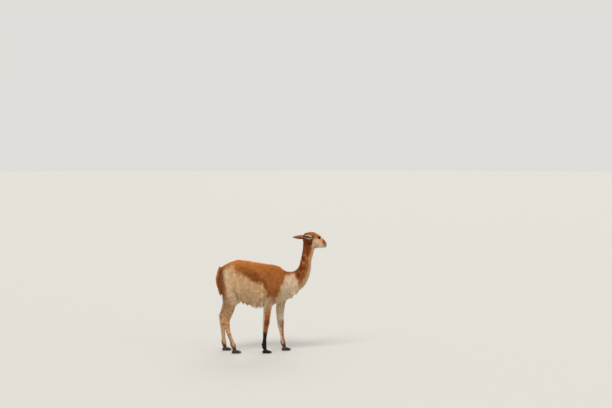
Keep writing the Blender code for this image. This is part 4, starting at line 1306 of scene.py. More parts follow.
def laid_coat(roots, lies, length, width, rise, rings, unwrap, finish):
    """Tufts along the surface, marked as the skin is."""
    path = laid(roots, lies, length, rise, rings)
    shares = read_off(OUTLINE, np.arange(rings) / (rings - 1)) if rings > 1 else np.ones(1)
    widths = width[:, None] * shares
    marks = markings(roots.points, roots.normals)
    marks["shade"] = shade(roots.points, roots.draw)
    return tufts(roots.name, path, roots.normals, widths, marks, unwrap(roots.points), finish)


def trunk_tufts(body, region, finish, fine):
    """The fleece of the trunk and thighs: broad tufts, or fine ones between them."""

    def part(points, facing):
        back, left = points[:, 2] > BACK_FROM, points[:, 1] >= 0
        keep = {"back": back, "right": ~back & ~left, "left": ~back & left}[region]
        keep = keep * (neck_share(points) < NECK_FROM) * (leg_share(points) < LEG_FROM)
        return keep * (tail_share(points) < TRUNK_UP_TO)

    roots = Roots(body, ("down_" if fine else "coat_") + region, part)
    low = ease(80, 60, roots.points[:, 2])
    leg = leg_share(roots.points)
    length = (3.3 + 0.9 * low) * (1 - leg) + 1.5 * leg
    length = length * (1 + 0.08 * ripple(roots.points, 7, 61)) * roots.uniform(0.75, 1.2)
    width = (0.66 * (1 - leg) + 0.4 * leg) * roots.uniform(0.7, 1.25)
    lies = roots.within(body_lie(roots), 0.16 + 0.12 * low)
    if fine:
        rise = (24 * roots.uniform(0.6, 1.25), 0)
        return laid_coat(roots, lies, length * 0.9, width * 0.5, rise, 1, trunk_places, finish)
    rise = ((36 - 10 * leg) * roots.uniform(0.8, 1.1), (9 + 5 * low) * roots.uniform(0.2, 1.6))
    return laid_coat(roots, lies, length, width, rise, 2, trunk_places, finish)


def neck_tufts(body, finish, fine):
    def part(points, facing):
        return (neck_share(points) >= NECK_FROM) * (above_nape(points) < 0.8)

    roots = Roots(body, "down_neck" if fine else "coat_neck", part)
    high = ease(80, 92, roots.points[:, 2])
    length = (2.9 - 0.8 * high) * roots.uniform(0.75, 1.25)
    width = 0.46 * roots.uniform(0.7, 1.25)
    lies = roots.within(body_lie(roots), 0.2)
    if fine:
        rise = (21 * roots.uniform(0.6, 1.25), 0)
        return laid_coat(roots, lies, length * 0.85, width * 0.55, rise, 1, neck_places, finish)
    rise = (30 * roots.uniform(0.7, 1.2), 10 * roots.uniform(0.2, 1.6))
    return laid_coat(roots, lies, length, width, rise, 2, neck_places, finish)


def leg_tufts(body, name, fore, finish):
    def part(points, facing):
        mine = (points[:, 0] > -10) == fore
        return mine * (leg_share(points) >= LEG_FROM) * (points[:, 2] > LEG_DOWN_TO)

    roots = Roots(body, name, part)
    z = roots.points[:, 2]
    length = (0.85 + 0.75 * ease(30, 52, z)) * roots.uniform(0.7, 1.25)
    width = (0.2 + 0.14 * ease(30, 52, z)) * roots.uniform(0.75, 1.25)
    lies = roots.within(body_lie(roots), 0.14)
    rise = (24 * roots.uniform(0.6, 1.3), 20)
    return laid_coat(roots, lies, length, width, rise, 1, leg_places, finish)


def foot_tufts(body, finish):
    def part(points, facing):
        return (points[:, 2] <= FOOT_UP_TO) * (points[:, 2] > 0.9) * (facing[:, 2] > -0.35)

    roots = Roots(body, "coat_feet", part)
    length = 0.68 * roots.uniform(0.7, 1.3)
    width = 0.2 * roots.uniform(0.75, 1.25)
    lies = roots.within(np.tile((0.6, 0, -1.0), (roots.count, 1)), 0.2)
    rise = (17 * roots.uniform(0.6, 1.3), 12)
    return laid_coat(roots, lies, length, width, rise, 1, leg_places, finish)


def in_body(roots):
    """Turns roots found on a piece in the head's frame into the animal's frame."""
    roots.points = from_head(roots.points)
    roots.normals = roots.normals @ HEAD_TURN.T


def face_tufts(head, finish):
    """Short fur, finest on the muzzle, and none on the eyes and the nostrils."""

    def part(points, facing):
        off_eyes = np.ones(len(points))
        for side in SIDES.values():
            lids = to_eye(points, side)
            off_eyes *= (lid_oval(lids, 0.22, 0.22) > 1) | (np.abs(lids).max(1) > 2.6)
        one_side = points * (1, 0, 1) + np.abs(points) * (0, 1, 0)
        nose = np.min([np.linalg.norm(one_side - place, axis=1) for place in NOSTRIL], axis=0)
        keep = (above_nape(from_head(points)) > 0.4) * off_eyes
        return keep * (1 + 0.8 * ease(8, 13, points[:, 0])) * (nose > 0.3)

    roots = Roots(head, "coat_face", part)
    points = roots.points
    x, _, z = points.T
    fine = ease(6, 13, x)
    cheek = ease(0, -6, z) * ease(9, 3, x)
    nape = ease(4, 0, above_nape(from_head(points)))
    length = (0.8 - 0.28 * fine + 0.7 * cheek + 0.9 * nape) * roots.uniform(0.7, 1.25)
    width = (0.19 - 0.05 * fine + 0.06 * cheek + 0.1 * nape) * roots.uniform(0.75, 1.25)
    lies = roots.within(head_lie(points), 0.16) @ HEAD_TURN.T
    in_body(roots)
    rise = (22 * roots.uniform(0.6, 1.3), 16)
    return laid_coat(roots, lies, length, width, rise, 1, head_places, finish)


def crown_tufts(head, finish):
    """The woolly top of the head, brushed forward over the brow."""

    def part(points, facing):
        lowest = np.interp(points[:, 0], (-2, 3, 6), (0.6, 1.6, 3.3))
        top = ease(0, 1.3, points[:, 2] - lowest) * ease(7.4, 5.0, points[:, 0])
        rear = ease(-0.5, -3.0, points[:, 0]) * (above_nape(from_head(points)) > -0.6)
        return np.maximum(top, rear)

    roots = Roots(head, "coat_crown", part)
    x, y, z = roots.points.T
    rear = ease(4.5, 1.5, z)[:, None]
    ways = np.column_stack((0.75 + 0.12 * x, 0.18 * y, -0.15 * np.abs(y)))
    ways = ways * (1 - rear) + np.array((-0.3, 0, -1.0)) * rear
    length = (1.3 + 0.7 * ease(4.5, 0, np.abs(x))) * roots.uniform(0.7, 1.2)
    width = 0.17 * roots.uniform(0.7, 1.3)
    curls = swirled(roots.points, 4.0, 70) * 0.4 * (1 - 0.6 * rear)
    lies = roots.within(unit(ways) + curls, 0.3) @ HEAD_TURN.T
    rise = ((46 - 20 * rear[:, 0]) * roots.uniform(0.6, 1.2), 4 * roots.uniform(-0.5, 1.6))
    in_body(roots)
    return laid_coat(roots, lies, length, width, rise, 2, head_places, finish)


def ear_tufts(mesh, name, ear, finish):
    """Short fur on the back of an ear, and inside it."""

    def part(points, facing):
        return ear.at(points)[0] > EAR_IN_HEAD + 0.03

    roots = Roots(mesh, "coat_" + name, part)
    length = 0.8 * roots.uniform(0.7, 1.3)
    width = 0.2 * roots.uniform(0.75, 1.25)
    lies = roots.within(np.tile(np.array(ear.axis), (roots.count, 1)), 0.15) @ HEAD_TURN.T
    in_body(roots)
    rise = (18 * roots.uniform(0.6, 1.3), 10)
    return laid_coat(roots, lies, length, width, rise, 1, ear_places, finish)


# Long locks on the belly, the flanks, the chest and the tail

LOCK_RINGS = 3
LOCK_STRANDS = 45
FLANK_LOCKS = (  # height, first and last x, spacing, length
    (70.0, 16.0, 34.0, 3.4, 7.0),
    (66.5, -15.0, 34.5, 3.5, 7.5),
    (63.2, -21.0, 34.0, 3.5, 8.0),
    (60.0, -24.0, 32.0, 3.5, 8.2),
    (57.0, -24.5, 29.0, 3.5, 8.2),
    (54.2, -24.0, 26.0, 3.4, 7.6),
)
BELLY_LOCKS = (-9.0, -5.5, -2.0, 2.0, 5.5, 9.0)  # y of the rows along the underside
CHEST_LOCKS = (  # height, half the width of the row, how many, length
    (75.0, 3.0, 3, 5.0),
    (71.0, 5.0, 5, 6.5),
    (67.0, 6.5, 6, 8.0),
    (63.0, 7.0, 6, 8.5),
    (59.5, 6.5, 5, 7.5),
)
LOWEST_HAIR = (-3.0, 10.0, 0.55)  # the x where the belly's hair is longest, its spread, how much longer


def lock_roots(body):
    """Where locks grow from the body: place, normal and length."""
    tree = tree_of(body)
    draw = np.random.default_rng(81)
    rays = []
    for side in SIDES.values():
        for height, first, last, spacing, length in FLANK_LOCKS:
            for x in np.arange(first + draw.uniform(0, spacing), last, spacing):
                start = (x + draw.uniform(-0.8, 0.8), side * 50, height + draw.uniform(-1.1, 1.1))
                rays.append((start, (0, -side, 0), length))
    for y in BELLY_LOCKS:
        for x in np.arange(-22, 24, 4.2):
            start = (x + draw.uniform(-1.2, 1.2), y + draw.uniform(-0.8, 0.8), 30)
            rays.append((start, (0, 0, 1), 6.4))
    for height, half, number, length in CHEST_LOCKS:
        for y in np.linspace(-half, half, number):
            start = (80, y + draw.uniform(-0.6, 0.6), height + draw.uniform(-0.9, 0.9))
            rays.append((start, (-1, 0, 0), length))
    middle, spread, more = LOWEST_HAIR
    found = []
    for start, way, length in rays:
        place, normal, _, _ = tree.ray_cast(Vector(start) * CM, way)
        if place is not None and normal.dot(Vector(way)) < 0:
            place = np.array(place) / CM
            if leg_share(place[None])[0] < 0.35:
                reach = length * (1 + more * math.exp(-(((place[0] - middle) / spread) ** 2)))
                found.append((place, np.array(normal), reach * draw.uniform(0.8, 1.15)))
    return found


def hanging(places, normals, lengths, ways, lift, droop, rings):
    """Middle lines of locks that leave the skin, then hang."""
    at = places - normals * 0.3
    heading = unit(ways + normals * lift)
    path = [at]
    for _ in range(rings):
        at = at + heading * (lengths / rings)[:, None]
        path.append(at)
        heading = unit(heading + np.array((0, 0, -1)) * droop - normals * lift * 0.45)
    return np.stack(path, axis=1)


def stranded(path, normals, strands, spread, draw):
    """Splits each lock's middle line into strands that gather towards its tip."""
    count, steps, _ = path.shape
    heading = unit(path[:, 1] - path[:, 0])
    side = unit(np.cross(normals, heading))
    over = draw.uniform(-1, 1, (count, strands, 1, 1)) * side[:, None, None]
    back = draw.uniform(-1, 1, (count, strands, 1, 1)) * heading[:, None, None]
    out = draw.uniform(-0.25, 0.35, (count, strands, 1, 1)) * normals[:, None, None]
    shares = np.interp(np.arange(steps) / (steps - 1), (0, 0.4, 1), (1, 0.95, 0.35))[None, None, :, None]
    reach = draw.uniform(0.6, 1.1, (count, strands, 1, 1))
    wave = np.sin(np.arange(steps) * 2.2 + draw.uniform(0, 6.28, (count, strands, 1)))[..., None]
    line = path[:, None, :1] + (path[:, None] - path[:, None, :1]) * reach
    line = line + (over + back * 0.8 + out) * spread * shares + side[:, None, None] * wave * 0.2
    return line.reshape(count * strands, steps, 3)


def lock_pieces(body, finish):
    found = lock_roots(body)
    places, normals, lengths = (np.array([row[i] for row in found]) for i in range(3))
    draw = np.random.default_rng(82)
    fore_and_aft, sideways = draw.normal(0, 1, (2, len(found)))
    back = -0.25 + 0.1 * ease(26, 36, places[:, 0])
    ways = np.column_stack((back + fore_and_aft * 0.16, sideways * 0.1, -np.ones(len(found))))
    ways = unit(ways - normals * dot(ways, normals)[:, None])
    path = hanging(places, normals, lengths, ways, 0.32, 0.3, LOCK_RINGS)
    names = {
        "locks_right": places[:, 1] < -4.5,
        "locks_left": places[:, 1] > 4.5,
        "locks_middle": np.abs(places[:, 1]) <= 4.5,
    }
    pieces = []
    for name, mine in names.items():
        lines = stranded(path[mine], normals[mine], LOCK_STRANDS, 1.9, draw)
        outs = np.repeat(normals[mine], LOCK_STRANDS, axis=0)
        roots = np.repeat(places[mine], LOCK_STRANDS, axis=0)
        widths = draw.uniform(0.22, 0.46, len(lines))[:, None] * np.array((0.8, 1.0, 0.65))
        marks = markings(roots, outs)
        # The lowest locks under the belly browner: partly wet, dirty hair, partly painted shade under the
        # belly.
        low = ease(59, 53, roots[:, 2]) * ease(16, 8, roots[:, 0])
        marks["brown"] = np.maximum(marks["brown"], 0.4 * low)
        lock_shade = np.repeat(draw.normal(0, 0.07, mine.sum()), LOCK_STRANDS)
        marks["shade"] = lock_shade + draw.normal(0, 0.07, len(lines))
        pieces.append(tufts(name, lines, outs, widths, marks, trunk_places(roots), finish))
    return pieces


def tail_tufts(body, finish):
    def part(points, facing):
        return tail_share(points) > TAIL_FROM

    roots = Roots(body, "coat_tail", part)
    top = ease(80, 86, roots.points[:, 2])
    ways = TAIL_PATH.ways[TAIL_PATH.near(roots.points)[0]] - np.outer(top, (0, 0, 0.9))
    lies = roots.within(ways, 0.16)
    length = (5.4 - 3.2 * top) * roots.uniform(0.7, 1.2)
    width = 0.42 * roots.uniform(0.7, 1.3)
    rise = ((24 - 12 * top) * roots.uniform(0.5, 1.3), -2 * roots.uniform(-1, 2))
    return laid_coat(roots, lies, length, width, rise, 3, trunk_places, finish)


# Eyes and nails


def make_eye(name, side, finish):
    """An eyeball with a bulge over the iris. Its own frame is kept as an attribute for the pattern."""
    points, faces = ball((0, 0, 0), (1, 1, 1), None, 48)
    bulge = 1 + 0.045 * ease(0.55, 0.95, points[:, 2])
    shape = points * bulge[:, None] * (EYE_RADIUS - 0.04)
    eye = new_object(name, shape @ np.array(eye_turn(side)).T + np.array(mirrored(EYE_AT, side)), faces)
    layer = eye.data.attributes.new("gaze", "FLOAT_VECTOR", "POINT")
    layer.data.foreach_set("vector", points.astype(np.float32).ravel())
    eye.data.transform(head_matrix())
    eye.data.materials.append(finish)
    eye.data.shade_smooth()
    return eye


def make_nails(name, rows, finish):
    """The two curved nails of a foot."""
    x, y = rows[-1][:2]
    forms = []
    for side in (-1, 1):
        rings = []
        for dx, z, radius in smooth_rows(NAIL, 4):
            centre = (x + dx, y + side * toe_middle(dx), z)
            rings.append(ring(centre, (0.35, 0, 0.94), (0, 1, 0), radius * 0.88, radius, 20, 2.2))
        forms.append(loft(rings))
    nails = new_object(name, *joined(forms))
    nails.data.materials.append(finish)
    nails.data.shade_smooth()
    nails.data.set_sharp_from_angle(angle=math.radians(50))
    return nails


# Node trees, written as Python expressions


class Value:
    """An output socket. Operators on it add Math nodes."""

    def __init__(self, nodes, socket):
        self.nodes, self.socket = nodes, socket

    def math(self, operation, a, b):
        return self.nodes.add("ShaderNodeMath", {"operation": operation}, (a, b))

    def __add__(self, other):
        return self.math("ADD", self, other)

    def __radd__(self, other):
        return self.math("ADD", other, self)

    def __sub__(self, other):
        return self.math("SUBTRACT", self, other)

    def __rsub__(self, other):
        return self.math("SUBTRACT", other, self)

    def __mul__(self, other):
        return self.math("MULTIPLY", self, other)

    def __rmul__(self, other):
        return self.math("MULTIPLY", other, self)


class Nodes:
    """Adds nodes to a tree: its settings first, then the values or links of its sockets."""

    def __init__(self, tree):
        self.tree = tree

    def add(self, kind, settings=None, inputs=(), output=0):
        node = self.tree.nodes.new(kind)
        for name, value in (settings or {}).items():
            setattr(node, name, value)
        for key, value in inputs.items() if isinstance(inputs, dict) else enumerate(inputs):
            self.feed(node.inputs[key], value)
        return Value(self, node.outputs[output])

    def feed(self, socket, value):
        if isinstance(value, Value):
            self.tree.links.new(value.socket, socket)
        else:
            socket.default_value = value

    def mix(self, share, a, b):
        """From colour a to colour b."""
        inputs = {0: share, 6: a, 7: b}
        return self.add("ShaderNodeMix", {"data_type": "RGBA"}, inputs, 2)

    def scaled(self, colour, by):
        return self.add("ShaderNodeVectorMath", {"operation": "SCALE"}, {0: colour, "Scale": by})

    def attribute(self, name, output="Fac"):
        return self.add("ShaderNodeAttribute", {"attribute_name": name}, output=output)

    def noise(self, scale, detail=2.0, stretch=(1, 1, 1)):
        place = self.add("ShaderNodeTexCoord", output="Object")
        place = self.add("ShaderNodeMapping", None, {"Vector": place, "Scale": stretch})
        return self.add("ShaderNodeTexNoise", None, {"Vector": place, "Scale": scale, "Detail": detail})

    def ease(self, value, low, high):
        settings = {"interpolation_type": "SMOOTHSTEP"}
        return self.add("ShaderNodeMapRange", settings, {"Value": value, "From Min": low, "From Max": high})

    def bump(self, height, distance, strength=1.0):
        inputs = {"Height": height, "Distance": distance, "Strength": strength}
        return self.add("ShaderNodeBump", None, inputs)


class Finish(Nodes):
    """A material: the constants of its shader are set on the shader itself."""

    def __init__(self, name, constants):
        self.material = bpy.data.materials.new(name)
        self.material.use_nodes = True
        super().__init__(self.material.node_tree)
        self.shader = self.tree.nodes["Principled BSDF"]
        for key, value in constants.items():
            self.shader.inputs[key].default_value = value

    def set(self, key, value):
        self.feed(self.shader.inputs[key], value)


def colour(red, green, blue):
    """A colour read off a screen, as Blender's own linear values."""
    shares = np.array((red, green, blue)) / 255
    linear = np.where(shares <= 0.04045, shares / 12.92, ((shares + 0.055) / 1.055) ** 2.4)
    return (*linear.tolist(), 1.0)


CREAM = colour(250, 209, 160)
SADDLE = colour(232, 152, 76)
BROWN = colour(146, 68, 12)
PALE = colour(255, 235, 206)
DARK = colour(28, 21, 16)


def marked(finish):
    """The coat's colour from the marks of skin or tufts, with fine flecks."""
    base = finish.mix(finish.attribute("saddle"), CREAM, SADDLE)
    base = finish.mix(finish.attribute("brown"), base, BROWN)
    base = finish.mix(finish.attribute("pale"), base, PALE)
    return finish.scaled(base, 0.8 + 0.4 * finish.noise(38, 3.0))


def coat_finish(name, root_shade):
    """Hair, darker at its roots as painted shade deep in the coat. Each tuft is a little lighter or darker
    than the next.
    """
    finish = Finish(name, {"Sheen Weight": 0.06, "Sheen Roughness": 0.5, "Specular IOR Level": 0.15})
    # Painted shade: each tuft darker towards its root, where the coat shades it.
    light = root_shade + (1.06 - root_shade) * finish.attribute("tip") + finish.attribute("shade")
    hair = finish.scaled(marked(finish), light)
    finish.set("Base Color", finish.mix(finish.attribute("dark"), hair, DARK))
    finish.set("Roughness", 0.78 - 0.2 * finish.attribute("dark"))
    return finish.material


def skin_finish():
    """The skin under the coat, darkened as painted shade between the tufts, with short fur as fine ridges,
    and bare leather on nose, lids and soles.
    """
    finish = Finish("hide", {"Specular IOR Level": 0.2})
    dark = finish.attribute("dark")
    # Painted shade: the skin darker than the hair on it, for the gaps between the tufts.
    under = finish.scaled(marked(finish), 0.68)
    finish.set("Base Color", finish.mix(dark, under, DARK))
    finish.set("Roughness", 0.85 - 0.25 * dark)
    hairs = finish.noise(620, 2.0, (1, 1, 0.22))
    pores = finish.noise(900, 3.0)
    finish.set("Normal", finish.bump(hairs * (1 - dark) + pores * dark, 0.0012, 0.7))
    return finish.material


def eye_finish():
    """A dark brown eye under a thin wet film, with a pupil that lies along the gap between the lids."""
    ball = {"Roughness": 0.3, "Specular IOR Level": 0.0}
    film = {"Coat Weight": 1.0, "Coat Roughness": 0.03, "Coat IOR": 1.34}
    finish = Finish("wet_eye", {**ball, **film})

    def from_middle(half_long, half_high):
        """How far from the middle of the gaze, as a share of an oval."""
        share = {0: finish.attribute("gaze", "Vector"), 1: (1 / half_long, 1 / half_high, 0.0)}
        share = finish.add("ShaderNodeVectorMath", {"operation": "MULTIPLY"}, share)
        return finish.add("ShaderNodeVectorMath", {"operation": "LENGTH"}, {0: share}, "Value")

    iris = finish.mix(finish.noise(260, 3.0), colour(24, 12, 6), colour(62, 33, 15))
    shown = finish.mix(finish.ease(from_middle(0.72, 0.66), 0.92, 1.04), iris, colour(20, 12, 9))
    shown = finish.mix(finish.ease(from_middle(0.36, 0.17), 0.9, 1.12), colour(3, 3, 4), shown)
    finish.set("Base Color", shown)
    return finish.material


def nail_finish():
    finish = Finish("horn", {"Specular IOR Level": 0.5})
    streaks = finish.noise(160, 4.0, (0.25, 1, 1))
    worn = finish.ease(streaks, 0.35, 0.7)
    finish.set("Base Color", finish.mix(worn, colour(30, 25, 23), colour(78, 66, 58)))
    finish.set("Roughness", 0.38 + 0.25 * streaks)
    finish.set("Normal", finish.bump(streaks, 0.0006, 0.6))
    return finish.material


def bristle_finish(name, root, tip):
    finish = Finish(name, {"Roughness": 0.5, "Specular IOR Level": 0.35})
    finish.set("Base Color", finish.mix(finish.noise(90, 1.0), root, tip))
    return finish.material


# Bristles that follow a path: lashes, whiskers and the fringes of the ears


BRISTLE_RINGS, BRISTLE_CORNERS = 5, 4
LASHES = {
    "Count": 44,
    "Length": 1.8 * CM,
    "Thickness": 0.022 * CM,
    "Bend": -0.3,
    "Spread": 0.22,
    "Seed": 5,
}
WHISKERS = {
    "Count": 26,
    "Length": 2.2 * CM,
    "Thickness": 0.015 * CM,
    "Bend": 0.35,
    "Spread": 0.45,
    "Seed": 7,
}
FRINGE = {
    "Count": 150,
    "Length": 1.7 * CM,
    "Thickness": 0.034 * CM,
    "Bend": 0.35,
    "Spread": 0.35,
}
FRINGE_SEEDS = {"ear_right": 11, "ear_left": 12}
FRINGE_EDGES = {"upper": -0.93, "lower": 0.93}  # where on the arc of the roll the fringes grow


def bristle_tree():
    """Thin bent bristles along a path, each turned and sized a little differently."""
    tree = bpy.data.node_groups.new("bristles", "GeometryNodeTree")
    wanted = (
        ("Path", "NodeSocketGeometry"),
        ("Count", "NodeSocketInt"),
        ("Length", "NodeSocketFloat"),
        ("Thickness", "NodeSocketFloat"),
        ("Bend", "NodeSocketFloat"),
        ("Spread", "NodeSocketFloat"),
        ("Seed", "NodeSocketInt"),
        ("Finish", "NodeSocketMaterial"),
    )
    for name, kind in wanted:
        tree.interface.new_socket(name, in_out="INPUT", socket_type=kind)
    tree.interface.new_socket("Bristles", in_out="OUTPUT", socket_type="NodeSocketGeometry")
    nodes = Nodes(tree)
    entry = tree.nodes.new("NodeGroupInput")
    given = {name: Value(nodes, entry.outputs[name]) for name, _ in wanted}
    line = nodes.add("GeometryNodeMeshToCurve", None, {"Mesh": given["Path"]})
    points = nodes.add("GeometryNodeResampleCurve", None, {"Curve": line, "Count": given["Count"]})
    vector = {"data_type": "FLOAT_VECTOR"}
    grow = nodes.add("GeometryNodeInputNamedAttribute", vector, {"Name": "grow"})
    curl = nodes.add("GeometryNodeInputNamedAttribute", vector, {"Name": "curl"})
    turn = nodes.add("FunctionNodeAlignRotationToVector", {"axis": "Z"}, {"Vector": grow})
    about = {"axis": "X", "pivot_axis": "Z"}
    turn = nodes.add("FunctionNodeAlignRotationToVector", about, {"Rotation": turn, "Vector": curl})
    chance = {"Min": 0 - given["Spread"], "Max": given["Spread"], "Seed": given["Seed"]}
    tilt = nodes.add("FunctionNodeRandomValue", vector, chance)
    local = {"rotation_space": "LOCAL"}
    turn = nodes.add("FunctionNodeRotateRotation", local, {"Rotation": turn, "Rotate By": tilt})
    middle = nodes.add("ShaderNodeCombineXYZ", None, (0.0, 0.0, given["Length"] * 0.55))
    end = nodes.add("ShaderNodeCombineXYZ", None, (given["Bend"] * given["Length"], 0.0, given["Length"]))
    bent = nodes.add("GeometryNodeCurveQuadraticBezier", None, (BRISTLE_RINGS - 1, (0, 0, 0), middle, end))
    profile = {"Resolution": BRISTLE_CORNERS, "Radius": given["Thickness"]}
    circle = nodes.add("GeometryNodeCurvePrimitiveCircle", None, profile)
    fall = 1.0 - 0.9 * nodes.add("GeometryNodeSplineParameter")
    shape = {"Curve": bent, "Profile Curve": circle, "Scale": fall, "Fill Caps": True}
    bristle = nodes.add("GeometryNodeCurveToMesh", None, shape)
    least, most = 2, 3
    limits = {least: 0.65, most: 1.1, "Seed": given["Seed"]}
    size = nodes.add("FunctionNodeRandomValue", {"data_type": "FLOAT"}, limits, 1)
    inputs = {"Points": points, "Instance": bristle, "Rotation": turn, "Scale": size}
    many = nodes.add("GeometryNodeInstanceOnPoints", None, inputs)
    real = nodes.add("GeometryNodeRealizeInstances", None, {"Geometry": many})
    done = nodes.add("GeometryNodeSetMaterial", None, {"Geometry": real, "Material": given["Finish"]})
    nodes.feed(tree.nodes.new("NodeGroupOutput").inputs[0], done)
    return tree


def bristles(tree, name, path, grow, curl, settings):
    """A piece of bristles along a path in centimetres of the head's frame.

    grow and curl are the ways that they stand and bend, one for all or one for each point of the path.
    """
    mesh = bpy.data.meshes.new(name)
    edges = [(i, i + 1) for i in range(len(path) - 1)]
    mesh.from_pydata((np.array(path) * CM).tolist(), edges, [])
    for word, ways in (("grow", grow), ("curl", curl)):
        layer = mesh.attributes.new(word, "FLOAT_VECTOR", "POINT")
        rows = np.broadcast_to(np.array(ways, np.float32), (len(path), 3))
        layer.data.foreach_set("vector", rows.ravel())
    obj = linked(name, mesh)
    change = obj.modifiers.new("Bristles", "NODES")
    change.node_group = tree
    for item in tree.interface.items_tree:
        if item.name in settings:
            change[item.identifier] = settings[item.name]
    applied(obj)
    obj.data.transform(head_matrix())
    obj.data.shade_smooth()
    count = settings["Count"]
    which, corner = np.divmod(np.arange(len(obj.data.vertices)), BRISTLE_RINGS * BRISTLE_CORNERS)
    places = np.column_stack(((which + 0.5) / count, 0.5 + 0.3 * np.sin(which)))
    patch = (corner // BRISTLE_CORNERS / BRISTLE_RINGS, corner % BRISTLE_CORNERS / BRISTLE_CORNERS)
    loops = read(obj.data.loops, "vertex_index", 1, int)[:, 0]
    uv = (places + np.column_stack(patch) * PATCH)[loops].astype(np.float32)
    obj.data.uv_layers.new(name="OFBake").data.foreach_set("uv", uv.ravel())
    return obj


def lashes(tree, name, side, finish):
    """The upper lid's lashes, long and dark, which stand out past the brow."""
    outline = lid_outline(side, 0.16, 0.2, 40)[1:20]
    centre = np.array(mirrored(EYE_AT, side))
    frame = np.array(eye_turn(side))
    grow = unit(unit(outline - centre) + frame[:, 1] * 0.25 + frame[:, 0] * 0.25)
    return bristles(tree, name, outline, grow, -frame[:, 1], {**LASHES, "Finish": finish})


WHISKER_LINE = (  # x and z on the head's middle line, and the way out from there: forward and sideways
    (13, -2.4, 3.6, 2.6),
    (13, -2.8, 2.4, 2.6),
    (13, -3.0, 1.2, 2.6),
    (13, -2.6, 0.2, 2.6),
    (13, -4.6, 1.8, 2.6),
    (12, -4.9, 2.6, 1.4),
)


def whiskers(tree, name, side, head_tree, finish):
    """Thin dark hairs on the lips."""
    places = [(x, 0, z) for x, z, _, _ in WHISKER_LINE]
    ways = [(forward, outward * side, 0) for _, _, forward, outward in WHISKER_LINE]
    path = smooth_rows(surface_path(head_tree, places, ways), 5)
    grow = unit(np.array((0.35, 0.8 * side, -0.35)))
    return bristles(tree, name, path, grow, (0, 0, -1), {**WHISKERS, "Finish": finish})


def ear_fringe(tree, name, ear, edge, seed, finish):
    """Long pale hairs along one edge of an ear, across its mouth."""
    path, grow = [], []
    for share in np.linspace(0.17, 0.88, 24):
        centre, mouth, across = ear.section(share)
        angle = ear.half_arc(share) * edge
        spoke = across * math.sin(angle) - mouth * math.cos(angle) * EAR_FLATNESS
        path.append(centre + spoke * (ear.radius(share) - 0.12))
        grow.append(mouth * 0.9 - across * 0.55 * edge + ear.axis * 0.55)
    return bristles(tree, name, path, grow, ear.axis, {**FRINGE, "Seed": seed, "Finish": finish})


# Putting it together

FLESH_NODES = ["torso", "neck", "tail", "head", *EARS, *LEGS, *(name + "_foot" for name in LEGS)]
CAMERA_AT = (0.451, -14.13, 2.16)  # metres, beside the animal's shoulder and above it
CAMERA_DOWN = math.radians(2.57)
CAMERA_LENS = 81.06
FLOOR_REACH = 9000
LIGHTS = (  # name, where it comes from, strength, tint, width in degrees
    ("key", (-1.6, -3.6, 4.25), 1.6, (1.0, 0.96, 0.9), 24),
    ("fill", (4.2, -3.2, 1.7), 0.3, (0.94, 0.97, 1.0), 32),
    ("back", (0.5, 4.5, 2.8), 0.75, (1.0, 0.98, 0.95), 32),
)


def shift_to_frame():
    """From the animal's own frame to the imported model's, by the middle of the right eye."""
    low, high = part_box("eye_right")
    return (low + high) / 2 - head_matrix() @ (mirrored(EYE_AT, -1) * CM)


SHIFT = shift_to_frame()


def placed(obj, slot, *nodes):
    """Moves a finished piece into the model's frame, under the root, and hides the model's nodes that it
    stands for.
    """
    obj.data.transform(Matrix.Translation(SHIFT))
    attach(obj, "root")
    if nodes:
        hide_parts(*nodes)
    return obj


def soft_light(name, place, strength, tint, width):
    data = bpy.data.lights.new(name, "SUN")
    data.energy = strength
    data.color = tint
    data.angle = math.radians(width)
    light = linked(name, data)
    light.location = place
    light.rotation_euler = (-Vector(place)).to_track_quat("-Z", "Y").to_euler()


def make_studio():
    """A wide pale floor, a pale surround, soft lights, and a camera where the photographer stood."""
    edges = [ring((0, 0, z), (0, 1, 0), (1, 0, 0), FLOOR_REACH, FLOOR_REACH, 64) for z in (-8, 0)]
    floor = new_object("floor", *loft(edges))
    matt = {"Base Color": colour(204, 203, 199), "Roughness": 0.9, "Specular IOR Level": 0.1}
    floor.data.materials.append(Finish("pale_floor", matt).material)
    world = bpy.data.worlds.new("surround")
    world.use_nodes = True
    back = world.node_tree.nodes["Background"]
    back.inputs["Color"].default_value = colour(240, 238, 234)
    back.inputs["Strength"].default_value = 0.85
    bpy.context.scene.world = world
    for light in LIGHTS:
        soft_light(*light)
    data = bpy.data.cameras.new("camera")
    data.lens, data.sensor_width = CAMERA_LENS, 36.0
    data.clip_start, data.clip_end = 0.1, 400
    camera = linked("camera", data)
    camera.location = Vector(CAMERA_AT) + SHIFT
    camera.rotation_euler = (math.radians(90) - CAMERA_DOWN, 0, 0)
    bpy.context.scene.camera = camera
    bpy.context.scene.view_settings.view_transform = "Standard"


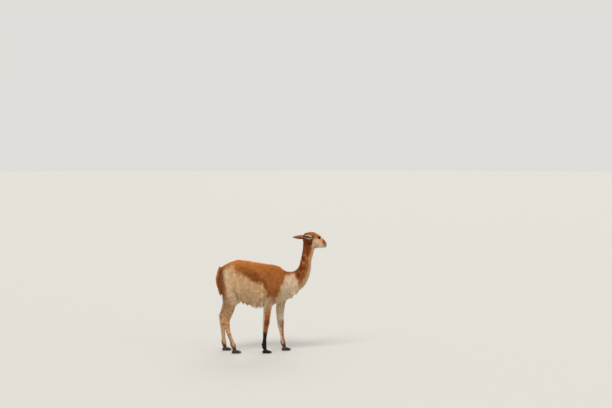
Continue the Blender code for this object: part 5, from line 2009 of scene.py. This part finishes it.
def dress_body(body, coat):
    """The coat's pieces that grow from the body."""
    for region in ("back", "right", "left"):
        placed(trunk_tufts(body, region, coat, fine=False), "body_coat")
        placed(trunk_tufts(body, region, coat, fine=True), "body_coat")
    placed(neck_tufts(body, coat, fine=False), "neck_coat")
    placed(neck_tufts(body, coat, fine=True), "neck_coat")
    placed(leg_tufts(body, "coat_forelegs", True, coat), "leg_coat")
    placed(leg_tufts(body, "coat_hindlegs", False, coat), "leg_coat")
    placed(foot_tufts(body, coat), "foot_skin")
    placed(tail_tufts(body, coat), "tail_coat")
    for piece in lock_pieces(body, coat_finish("long_wool", 0.42)):
        placed(piece, "body_coat")


def dress_head(head, ears, coat):
    """The coat's pieces and the bristles that grow from the head and the ears."""
    placed(face_tufts(head, coat), "face_coat")
    placed(crown_tufts(head, coat), "face_coat")
    for mesh, (name, ear) in zip(ears, EARS.items()):
        placed(ear_tufts(mesh, name, ear, coat), "ear_coat")
    tree = bristle_tree()
    dark_hair = bristle_finish("lash_hair", colour(14, 11, 10), colour(36, 26, 20))
    pale_hair = bristle_finish("fringe_hair", colour(236, 224, 206), colour(252, 246, 236))
    head_tree = tree_of(head)
    for word, side in SIDES.items():
        placed(lashes(tree, "lashes_" + word, side, dark_hair), "face_coat")
        placed(whiskers(tree, "whiskers_" + word, side, head_tree, dark_hair), "face_coat")
    for name, ear in EARS.items():
        for word, edge in FRINGE_EDGES.items():
            piece = f"{name}_fringe_{word}"
            placed(ear_fringe(tree, piece, ear, edge, FRINGE_SEEDS[name], pale_hair), "ear_coat")


def main():
    make_studio()
    body, head = make_body(), make_head()
    ears = [ear.mesh() for ear in EARS.values()]
    coat = coat_finish("wool", 0.74)
    dress_head(head, ears, coat_finish("short_hair", 0.86))
    for obj in (head, *ears):
        obj.data.transform(head_matrix())
    skin = make_skin(body, head, ears)
    points, normals = points_of(skin.data)
    for mark, values in markings(points, normals).items():
        store(skin.data, mark, values)
    skin.data.materials.clear()
    skin.data.materials.append(skin_finish())
    skin.data.shade_smooth()
    dress_body(body, coat)
    for obj in (body, head, *ears):
        bpy.data.objects.remove(obj)
    placed(skin, "body_coat", *FLESH_NODES)
    wet, horn = eye_finish(), nail_finish()
    for word, side in SIDES.items():
        placed(make_eye("eyeball_" + word, side, wet), "eye", "eye_" + word)
    for name, rows in LEGS.items():
        nodes = (name + "_nail_outer", name + "_nail_inner")
        placed(make_nails(name + "_nails", rows, horn), "nail", *nodes)


main()
